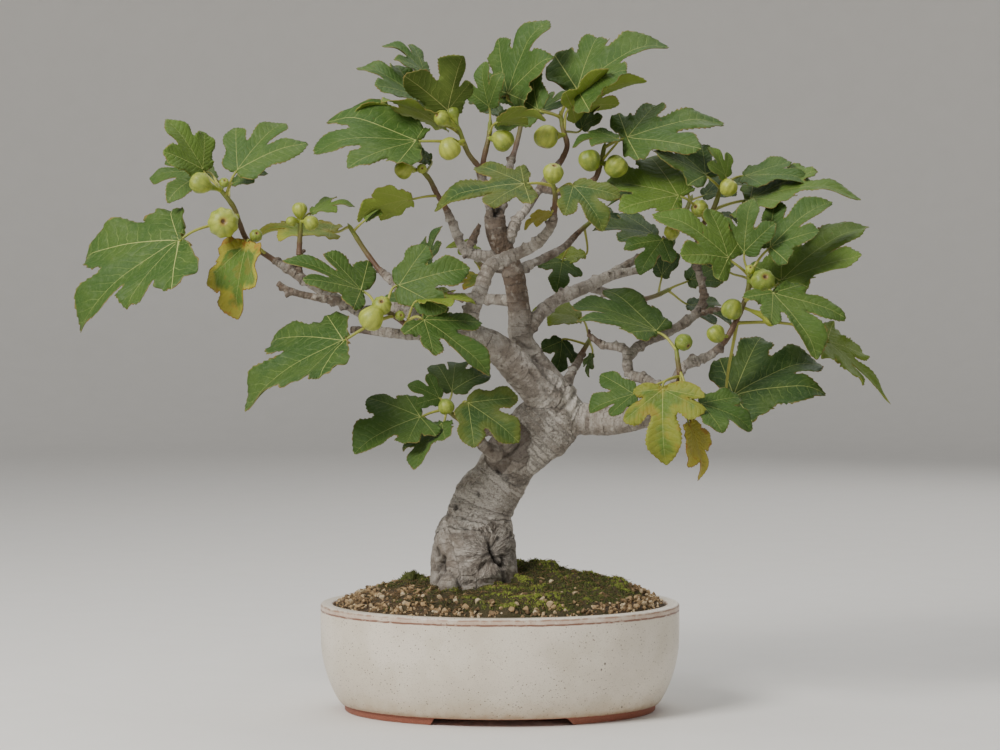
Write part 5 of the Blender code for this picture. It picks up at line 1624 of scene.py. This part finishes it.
def bent_blade(name, form, lift, seed, materials):
    """A leaf's blade in a mesh of its own, bent in millimetres, with an upper and a lower face."""
    frame_here, size, lobes = leaf_pose(form)
    small = size < SMALL_LEAF
    tips, lobes = (LOBE_TIPS[1:4], lobes[1:4]) if small else (LOBE_TIPS, lobes)
    kind = seed % COMMON_KINDS if form["kind"] is None else form["kind"]
    flat = three[min(kind, BROAD)] if small else five[kind]
    old = [lobe_angle(tip) for tip in tips]
    new = [lobe_angle(tip) for tip in lobes]
    ratios = [new_tip.length / Vector(tip).length for new_tip, tip in zip(lobes, tips)]
    from_angles = [-math.pi, *old, math.pi]
    to_angles = [-math.pi, *new, math.pi]
    lengths = [1.0, *ratios, 1.0]
    phase = [noise.cell_vector(Vector((seed, k, 0.5))).x * math.tau for k in range(4)]
    mesh = flat.copy()
    waves = 0.010 + 0.012 * (noise.cell(Vector((seed, 9.5, 0.5))) % 1.0)
    for vertex, margin in zip(mesh.vertices, flat.attributes["margin"].data):
        point = stretched(vertex.co, from_angles, to_angles, lengths)
        angle = lobe_angle(point)
        near = min(new, key=lambda a: abs(a - angle))
        along_lobe = point.length * math.cos(angle - near)
        across_lobe = abs(point.length * math.sin(angle - near))
        rise = blade_rise(point.x, point.y, lift)
        rise += LOBE_FOLD * (math.sqrt(across_lobe**2 + 0.0009) - 0.03) * smooth(along_lobe, 0.25, 0.6)
        rise -= LOBE_DROOP * smooth(along_lobe, 0.55, 1.05) ** 2 * (1 + 0.5 * math.sin(phase[0]))
        rim = smooth(RIM_WIDTH - margin.value, 0.0, RIM_WIDTH)
        rise += waves * rim * (math.sin(11 * angle + phase[1]) + 0.7 * math.sin(23 * angle + phase[2]))
        quilt = (along_lobe - 0.8 * across_lobe - 0.5 * across_lobe**2) / 0.085
        rise += 0.0018 * math.sin(math.tau * quilt) * smooth(across_lobe, 0.015, 0.05) * (1 - rim)
        rise += 0.012 * noise.noise(Vector((point.x * 3 + seed, point.y * 3, 0)))
        vertex.co = frame_here @ Vector((point.x * size, point.y * size, rise * size))
    for material in materials:
        mesh.materials.append(material)
    write(mesh, "tone", [form["tone"]] * len(mesh.vertices))
    write(mesh, "scorch", [form["scorch"]] * len(mesh.vertices))
    sheet = to_scene(name, mesh)
    thick = sheet.modifiers.new("thickness", "SOLIDIFY")
    thick.thickness = BLADE_THICK
    thick.offset = 0.0
    thick.material_offset = 1
    thick.material_offset_rim = 1
    applied(sheet)
    made = sheet.data
    bpy.data.objects.remove(sheet)
    return made, frame_here, size


# %% [markdown]
# A leaf stalk springs from the shoot and runs into the blade's notch. It leaves the blade along its
# midrib and swings round to the joint, which one Bezier curve draws. It thickens towards the shoot. The
# shoot itself is brown where it is last year's wood, turns green towards the tip and ends in the pointed
# bud that all figs have.

# %% Stalks, shoots and buds
PETIOLE_RADIUS = 1.6
SHOOT_RADIUS = 3.3
SHOOT_TIP_RADIUS = 2.3
BUD_LENGTH = 6.0
STEM_SLOT, FIG_SLOT = 2, 3


def stalk_path(frame_here, size, lift, joint):
    """Points from the blade's notch back to the joint, leaving the blade along its midrib."""
    start = frame_here @ Vector((0.0, NOTCH * size, blade_rise(0.0, NOTCH, lift) * size))
    back = -(frame_here.to_3x3() @ Vector((0.0, 1.0, 0.0))).normalized()
    reach = (joint - start).length
    facing = back.dot(joint - start) / reach
    push = (0.14 + 0.2 * max(0.0, facing)) * reach
    bends = [start, start + back * push, joint.lerp(start, 0.3) + Vector((0, 0, 0.06 * reach)), joint]
    points = [start - back * 0.06 * size]
    for i in range(15):
        t = i / 14
        s = 1.0 - t
        points.append(s**3 * bends[0] + 3 * s * s * t * bends[1] + 3 * s * t * t * bends[2] + t**3 * bends[3])
    return points


def shoot_path(name, rest):
    """A young shoot's points: from inside its limb's end to the root of its bud."""
    before, end = (seen(*knot[:3]) for knot in LIMBS[name][-2:])
    onward = (end - before).normalized()
    path = [end + onward * GAP, end + onward * 3.0, *(seen(*point) for point in rest)]
    return [*path, path[-1] + (path[-1] - path[-2]).normalized() * BUD_LENGTH]


def along(path, part):
    """The point a part of the way along a path, from 0 to 1."""
    lengths = [(b - a).length for a, b in zip(path, path[1:])]
    left = part * sum(lengths)
    for a, b, length in zip(path, path[1:], lengths):
        if left <= length:
            return a.lerp(b, left / length)
        left -= length
    return path[-1].copy()


def tube_mesh(points, radii, sides, tones):
    """A closed tube as a mesh, with a tone at each of its points."""
    bm = bmesh.new()
    layer = bm.verts.layers.float.new("tone")
    rings = sweep(bm, points, radii, sides)
    bmesh.ops.recalc_face_normals(bm, faces=bm.faces)
    for ring, tone in zip(rings, tones):
        for vertex in ring:
            vertex[layer] = tone
    for face in bm.faces:
        face.material_index = STEM_SLOT
    return mesh_from("tube", bm)


def stalk(frame_here, size, lift, joint):
    points = stalk_path(frame_here, size, lift, joint)
    last = len(points) - 1
    thick = 0.8 + 0.25 * smooth(size, 40, 110)
    widths = [0.62, *(0.82 + 0.35 * (i / last) ** 2 for i in range(1, last))]
    radii = [thick * (PETIOLE_RADIUS * width) for width in widths]
    tones = [0.7 + 0.3 * i / last for i in range(last + 1)]
    return tube_mesh(points, [*radii, thick * PETIOLE_RADIUS * 1.5], 10, tones)


def shoot(path):
    """The shoot and its bud. It swells at the joints and starts a little way inside the limb."""
    inside = path[0] + (path[0] - path[1]).normalized() * 3.0
    smooth_path = through([inside, *path[:-1]], 6)
    last = len(smooth_path) - 1
    radii, tones = [], []
    for i in range(last + 1):
        part = i / last
        bulge = 0.35 * max(0.0, math.sin(part * 31)) ** 4
        radii.append(SHOOT_RADIUS + (SHOOT_TIP_RADIUS - SHOOT_RADIUS) * part + bulge)
        tones.append(0.1 + 0.5 * smooth(part, 0.5, 1.0))
    bud = (path[-1] - path[-2]).normalized() * (BUD_LENGTH + 2.0)
    for part, radius in ((0.2, 2.3), (0.45, 1.9), (0.7, 1.2), (0.9, 0.6), (1.0, 0.25)):
        smooth_path.append(path[-2] + bud * part)
        radii.append(radius)
        tones.append(0.62)
    return tube_mesh(smooth_path, radii, 12, tones)


# %% [markdown]
# The young figs are pear-shaped: a globe with a flat, ringed eye at the far end and a neck that narrows
# to the shoot. A spin of the pear's outline gives the form, and shallow ribs run from the neck to the eye.

# %% Figs
# Each spray's figs: the middle of each as (across, up, depth), and its radius
FIGS = {
    "far_left": [(-299, 527.5, -56, 10.5), (-276.4, 488, -54, 15), (-244, 475, -44, 6.5),
                 (-275.5, 528, -46, 5)],
    "left_mid": [(-200, 501, -38, 7.5), (-188.6, 488, -48, 7.5), (-208.4, 489.6, -40, 5.2)],
    "left_front": [(-118.2, 405, -96, 9.5), (-128.4, 393, -104, 12), (-100.4, 395.3, -90, 5)],
    "low_left": [(-54, 304.5, -74, 8)],
    "right_low": [(183.6, 369.2, -64, 8.5)],
    "right_tip": [(262.7, 429.5, -48, 12), (232, 402, -50, 10.5), (216, 377, -58, 9), (270, 393, -28, 8),
                  (250, 441, -42, 5)],
    "right_top": [(228, 523, 2, 9), (199.7, 502.4, 6, 9)],
    "top_right": [(46, 574, 6, 12)],
    "top_centre": [(3, 570.5, -10, 11)],
    "top_left": [(-57.6, 592, -34, 8), (-47, 597, -16, 7), (-50.6, 562, -36, 11)],
    "upper_left": [(-96, 541, -44, 9), (-78, 542, -38, 5)],
    "centre_front": [(53, 537, -98, 10)],
    "upper_right": [(89.4, 550.2, -6, 11), (116, 544, -6, 11.5)],
    "right_mid": [(171.5, 478.4, 32, 8)],
}
# The way that the eye of each spray's first figs looks. The others look straight away from their shoot
EYES = {
    "far_left": [(-0.8, 0.3, 0.5), (0.1, -1.0, 0.1)],
    "left_mid": [(0, 0.2, 1), (0.6, 0.2, -0.7), (-0.7, 0.1, -0.5)],
    "left_front": [(0, -0.8, 0.5), (-0.6, 0.3, -0.7)],
    "low_left": [(0.3, -0.1, -0.9)],
    "right_low": [(0.6, -0.7, -0.5)],
    "right_tip": [(0.15, -0.9, 0.45), (-0.3, 0.1, -0.9), (-0.5, 0.1, 0.8)],
    "right_top": [(0.5, -0.2, 0.9)],
    "top_right": [(-0.3, -0.1, -1)],
    "top_centre": [(0.7, 0, -0.6)],
    "top_left": [None, None, (0.5, 0.2, -0.8)],
    "upper_left": [(-0.6, 0.2, -0.6)],
    "centre_front": [(0.1, -0.5, 0.8)],
    "upper_right": [(-0.2, 0.1, 1), (0.6, 0, 0.7)],
}
FIG_STEPS = 36
FIG_RIBS = 9
PEAR = [(0.0, 0.82), (0.07, 0.81), (0.15, 0.88), (0.24, 0.93), (0.42, 0.925), (0.66, 0.81), (0.87, 0.56),
        (0.985, 0.22), (0.97, -0.08), (0.87, -0.38), (0.69, -0.68), (0.5, -0.93)]


def nearest_on(path, point):
    """The point of a path's length, its bud left out, that lies nearest."""
    tried = (along(path, 0.1 + 0.83 * i / 60) for i in range(61))
    return min(tried, key=lambda p: (p - point).length)


def fig(joint, centre, radius, seed, facing):
    """A young fig on its neck, from the joint, with its middle at the centre and its eye facing a way."""
    onward = (centre - joint).normalized()
    reach = max((centre - joint).length, 1.1 * radius)
    neck = max(1.4, 0.2 * radius)
    pear = [(0.0, r * radius, reach + z * radius) for r, z in PEAR]
    foot = reach - 0.93 * radius
    pear += [(0.0, neck + 0.1 * radius, 0.6 * foot), (0.0, neck, 0.3 * foot), (0.0, neck * 1.15, 0.0)]
    profile = [(point.y, point.z) for point in through(pear, 3)]
    bm = bmesh.new()
    turn(bm, [*profile, (0.0, 0.0)], FIG_STEPS)
    layer = bm.verts.layers.float.new("tone")
    eye = bm.verts.layers.float.new("margin")
    ribs = bm.verts.layers.float.new("rib")
    for vertex in bm.verts:
        angle = math.atan2(vertex.co.y, vertex.co.x)
        high = (vertex.co.z - reach) / radius
        wave = math.cos(FIG_RIBS * angle + seed)
        rib = 1 + 0.045 * wave * smooth(high, -0.8, 0.2) * (1 - smooth(high, 0.7, 0.95))
        vertex.co.x *= rib
        vertex.co.y *= rib
        vertex[ribs] = wave
        vertex[layer] = noise.noise(Vector((seed * 3.1, 0, 0))) * 0.5 + 0.5
        vertex[eye] = (vertex.co - Vector((0, 0, reach + 0.9 * radius))).length / radius
    for face in bm.faces:
        face.material_index = FIG_SLOT
    point_up = Vector((0, 0, 1)).rotation_difference(onward).to_matrix().to_4x4()
    bmesh.ops.transform(bm, matrix=Matrix.Translation(joint) @ point_up, verts=bm.verts)
    if facing:
        middle = joint + onward * reach
        swing = onward.rotation_difference(Vector(facing).normalized())
        for vertex in bm.verts:
            out = vertex.co - middle
            share = smooth(out.dot(onward) / radius, -1.25, -0.5)
            vertex.co = middle + Quaternion().slerp(swing, share) @ out
    return mesh_from("fig", bm)


# %% [markdown]
# The blades need the most careful finish. The map lobe says how far along its lobe and how far from that
# lobe's middle a point lies, in blade lengths. The main vein is where the second is near zero. Side veins
# leave it at a slant and curve to the edge, so they are where a slanted sum of the two comes round to a
# whole number. Between them lies a fine net of cells.

# %% Leaf finishes
VEIN_SPACING = 0.085
LEAF_GREENS = ((SHADED_LEAF, (42, 68, 29)), (GREEN, (60, 88, 35)), (LIGHT, (86, 112, 40)),
               (LIME, (116, 134, 36)), (YELLOW, (158, 146, 50)))
STEM_COLOURS = ((0.15, (92, 66, 48)), (0.4, (98, 92, 44)), (0.65, (116, 130, 46)), (0.85, (158, 160, 70)))


def veins(f):
    """The lobe's main vein, its side veins and the net between them, each from 0 to 1."""
    uv = f.node("UVMap", {}, uv_map="lobe")
    along_lobe, aside, _ = f.axes(uv)
    across_lobe = abs(aside)
    width = 0.0050 - along_lobe * 0.0036
    main = f.ease(across_lobe / width, 0.5, 1.0, 1.0, 0.0)
    slant = (along_lobe - across_lobe * 0.8 - across_lobe * across_lobe * 0.5) / VEIN_SPACING
    slant = slant + f.noise(uv, 7.0, 2.0) * 1.1
    from_line = abs(f.math("FRACT", slant) - 0.5)
    side = f.ease(0.5 - from_line, 0.01, 0.05, 1.0, 0.0) * f.ease(across_lobe, 0.2, 0.03)
    quilt = f.ease(0.5 - from_line, 0.0, 0.35)
    net = f.cells(uv, 55.0, feature="DISTANCE_TO_EDGE")
    net = f.ease(net, 0.0, 0.12, 1.0, 0.0)
    return main, side, quilt, net


def edge_colour(f, colour, here):
    """A thin dry rim on every leaf, and yellow and scorched brown further in where a leaf is ageing."""
    patch = f.noise(here, 0.09, 3.0)
    edge = f.number("margin")
    margin = edge + (patch - 0.5) * 0.05
    scorch = f.number("scorch")
    here_dry = f.ease(f.noise(here, 0.05, 2.0), 0.42, 0.6, 0.15, 0.8)
    rim = edge + (patch - 0.5) * 0.02
    colour = f.tint(colour, f.ease(rim, 0.0, 0.011, 0.7, 0.0) * here_dry, 156, 142, 84)
    colour = f.tint(colour, f.ease(margin, -0.004, 0.004, 0.6, 0.0), 126, 96, 52)
    inwards = edge + (f.noise(here, 0.055, 4.0) - 0.5) * 0.42
    yellowed = f.ease(inwards, 0.06, 0.16, 1.0, 0.0) * f.ease(scorch, 0.1, 0.9)
    colour = f.tint(colour, yellowed * 0.75, 164, 154, 56)
    blotch = f.ease(patch, 0.54, 0.62) * f.ease(scorch, 0.2, 0.9) * f.ease(inwards, 0.02, 0.12, 1.0, 0.25)
    colour = f.tint(colour, blotch * 0.75, 150, 104, 44)
    burnt = f.ease(margin, -0.01, 0.022, 1.0, 0.0) * f.ease(scorch, 0.5, 1.0)
    return f.tint(colour, burnt * 0.9, 112, 68, 34)


def blemishes(f, colour, here):
    """Small brown spots, thinly sown."""
    spots = f.cells(here, 0.075)
    sown = f.ease(f.noise(here, 0.03, 2.0), 0.48, 0.6)
    return f.tint(colour, f.ease(spots, 0.045, 0.085, 0.75, 0.0) * sown, 104, 84, 44)


def leaf_top():
    f = Finish("leaf_upper", roughness=0.5, gloss=0.2)
    here = f.place()
    main, side, quilt, net = veins(f)
    tone = f.number("tone")
    cloud = f.noise(here, 0.035, 3.0)
    grain = f.noise(here, 0.5, 3.0)
    # The green follows the tone, which carries painted shade and painted light besides the leaf's own colour
    green = f.ramp(tone, LEAF_GREENS)
    green = f.blend(f.ease(cloud, 0.4, 0.66, 0.0, 0.4), green, f.blend(0.4, green, srgb(118, 134, 58)))
    green = f.blend(f.ease(grain, 0.4, 0.7, 0.0, 0.3), green, f.blend(0.6, green, srgb(30, 48, 24)))
    green = f.tint(green, f.ease(f.noise(here, 0.22, 3.0), 0.5, 0.7, 0.0, 0.18), 112, 128, 88)
    green = f.tint(green, net * 0.12, 118, 138, 72)
    green = f.tint(green, side * 0.5, 128, 146, 78)
    green = f.tint(green, main * 0.8, 172, 178, 104)
    green = blemishes(f, green, here)
    green = edge_colour(f, green, here)
    relief = quilt * 0.36 - side * 0.2 - main * 0.35 + net * -0.1 + grain * 0.25
    return f.done(green, f.ease(grain, 0.3, 0.7, 0.46, 0.62), relief, 0.6)


def leaf_under():
    f = Finish("leaf_lower", roughness=0.75, gloss=0.2)
    here = f.place()
    main, side, quilt, net = veins(f)
    tone = f.number("tone")
    cloud = f.noise(here, 0.05, 3.0)
    # On an underside a higher tone is painted light shining through the blade
    green = f.blend(f.ease(tone, 0.1, 0.9), srgb(54, 72, 25), srgb(134, 152, 60))
    green = f.blend(f.ease(cloud, 0.38, 0.66, 0.0, 0.35), green, f.blend(0.5, green, srgb(124, 140, 60)))
    green = f.tint(green, net * 0.15, 132, 146, 80)
    green = f.tint(green, side * 0.5, 146, 156, 84)
    green = f.tint(green, main * 0.9, 176, 174, 108)
    green = edge_colour(f, green, here)
    relief = side * 0.5 + main * 0.9 + net * 0.15 - quilt * 0.25
    return f.done(green, cloud * 0.2 + 0.65, relief, 0.6)


def stem():
    f = Finish("young_stem", roughness=0.55)
    here = f.place()
    tone = f.number("tone")
    grain = f.noise(here, 0.8, 3.0)
    colour = f.ramp(tone, STEM_COLOURS)
    colour = f.tint(colour, f.ease(grain, 0.45, 0.7, 0.0, 0.4), 122, 96, 58)
    specks = f.cells(here, 0.7)
    colour = f.tint(colour, f.ease(specks, 0.1, 0.2, 0.6, 0.0), 196, 182, 140)
    return f.done(colour, grain * 0.2 + 0.45, grain, 0.3)


def fig_skin():
    f = Finish("fig_skin", roughness=0.5)
    here = f.place()
    tone = f.number("tone")
    eye = f.number("margin")
    cloud = f.noise(here, 0.12, 3.0)
    colour = f.blend(f.ease(tone + cloud - 0.5, 0.2, 0.8), srgb(112, 130, 42), srgb(160, 168, 62))
    colour = f.tint(colour, f.ease(0.0 - f.number("rib"), 0.0, 1.0, 0.0, 0.25), 92, 106, 36)
    specks = f.cells(here, 0.55)
    colour = f.tint(colour, f.ease(specks, 0.10, 0.18, 0.6, 0.0), 196, 200, 130)
    colour = f.tint(colour, f.ease(eye + cloud * 0.2, 0.22, 0.52, 0.8, 0.0), 138, 104, 46)
    colour = f.tint(colour, f.ease(eye + cloud * 0.1, 0.14, 0.26, 0.95, 0.0), 66, 38, 24)
    return f.done(colour, cloud * 0.2 + 0.4, f.noise(here, 0.6, 2.0), 0.25)


foliage = [leaf_top(), leaf_under(), stem(), fig_skin()]

# %% Grow the sprays
for number, (name, (rest, forms)) in enumerate(SPRAYS.items()):
    path = shoot_path(name, rest)
    parts = [shoot(path)]
    for index, form in enumerate(forms):
        lift = 1.0 + 0.3 * math.sin(2.4 * index + len(name))
        blade, frame_here, size = bent_blade(f"{name}_{index}", form, lift, number * 10 + index, foliage)
        parts += [blade, stalk(frame_here, size, lift, along(path, form["joint"]))]
    for index, ((*middle, radius), facing) in enumerate(zip_longest(FIGS.get(name, []), EYES.get(name, []))):
        centre = seen(*middle)
        parts.append(fig(nearest_on(path, centre), centre, radius, number + index * 1.7, facing))
    spray_bm = bmesh.new()
    for part in parts:
        absorb(spray_bm, part)
    spray = to_object("foliage_" + name, spray_bm, foliage)
    settle(spray, "foliage", "spray_" + name)

# %% [markdown]
# The studio is a wide round floor whose edge curves up into a low wall, so no hard line runs behind the
# leaves from any side. One big soft light stands at the left and above, weaker ones fill from the right,
# from above and from behind, and the sky is even.

# %% Floor and wall
WALL_REACH = 5.0
WALL_BEND = 1.2
WALL_HEIGHT = 1.9
WALL_STEPS = 120


def paper():
    f = Finish("pale_paper", roughness=0.9)
    return f.done(f.blend(f.noise(f.place(), 0.02, 3.0), srgb(226, 223, 217), srgb(231, 228, 223)))


turns = [math.radians(a) for a in range(0, 91, 6)]
bend = [(WALL_REACH - WALL_BEND * (1 - math.sin(a)), WALL_BEND * (1 - math.cos(a))) for a in turns]
floor = bmesh.new()
turn(floor, [(0.0, 0.0), *bend, (WALL_REACH, WALL_HEIGHT)], WALL_STEPS)
if sum(face.normal.z for face in floor.faces) < 0:
    bmesh.ops.reverse_faces(floor, faces=floor.faces[:])
backdrop = to_scene("backdrop", mesh_from("backdrop", floor))
backdrop.data.shade_smooth()
backdrop.data.materials.append(paper())
backdrop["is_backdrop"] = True

# %% Lights
TREE_MIDDLE = Vector((0.0, 0.0, 0.38))
SKY_STRENGTH = 0.26
# Each light: its place, its width, its watts and its colour
LIGHTS = {
    "window": ((-1.6, -1.7, 2.1), 1.1, 98, (1.0, 0.98, 0.95)),
    "fill": ((2.2, -1.6, 1.1), 2.0, 8, (0.96, 0.98, 1.0)),
    "top": ((0.2, 0.4, 2.4), 1.8, 22, (1.0, 1.0, 1.0)),
    "behind": ((1.2, 2.4, 1.7), 2.0, 16, (1.0, 0.99, 0.97)),
}
for name, (place_at, width, watts, colour) in LIGHTS.items():
    light = to_scene(name, bpy.data.lights.new(name, "AREA"))
    light.data.size = width
    light.data.energy = watts
    light.data.color = colour
    light.location = place_at
    light.rotation_euler = (TREE_MIDDLE - Vector(place_at)).to_track_quat("-Z", "Y").to_euler()
world = bpy.data.worlds.new("sky")
world.use_nodes = True
background = world.node_tree.nodes["Background"].inputs
background["Color"].default_value = (0.95, 0.97, 1.0, 1.0)
background["Strength"].default_value = SKY_STRENGTH
bpy.context.scene.world = world

# %% [markdown]
# Last, the size of the finished look is printed beside the CAD's, with the number of faces.

# %% Finish
low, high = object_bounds()
for title, corners in (("CAD", (cad_low, cad_high)), ("visual", (low, high))):
    print(title, "box", [round(v, 4) for corner in corners for v in corner])
added = [o.data for o in bpy.data.objects if o.type == "MESH" and o.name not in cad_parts]
print(f"{sum(len(mesh.polygons) for mesh in added)} faces in all")
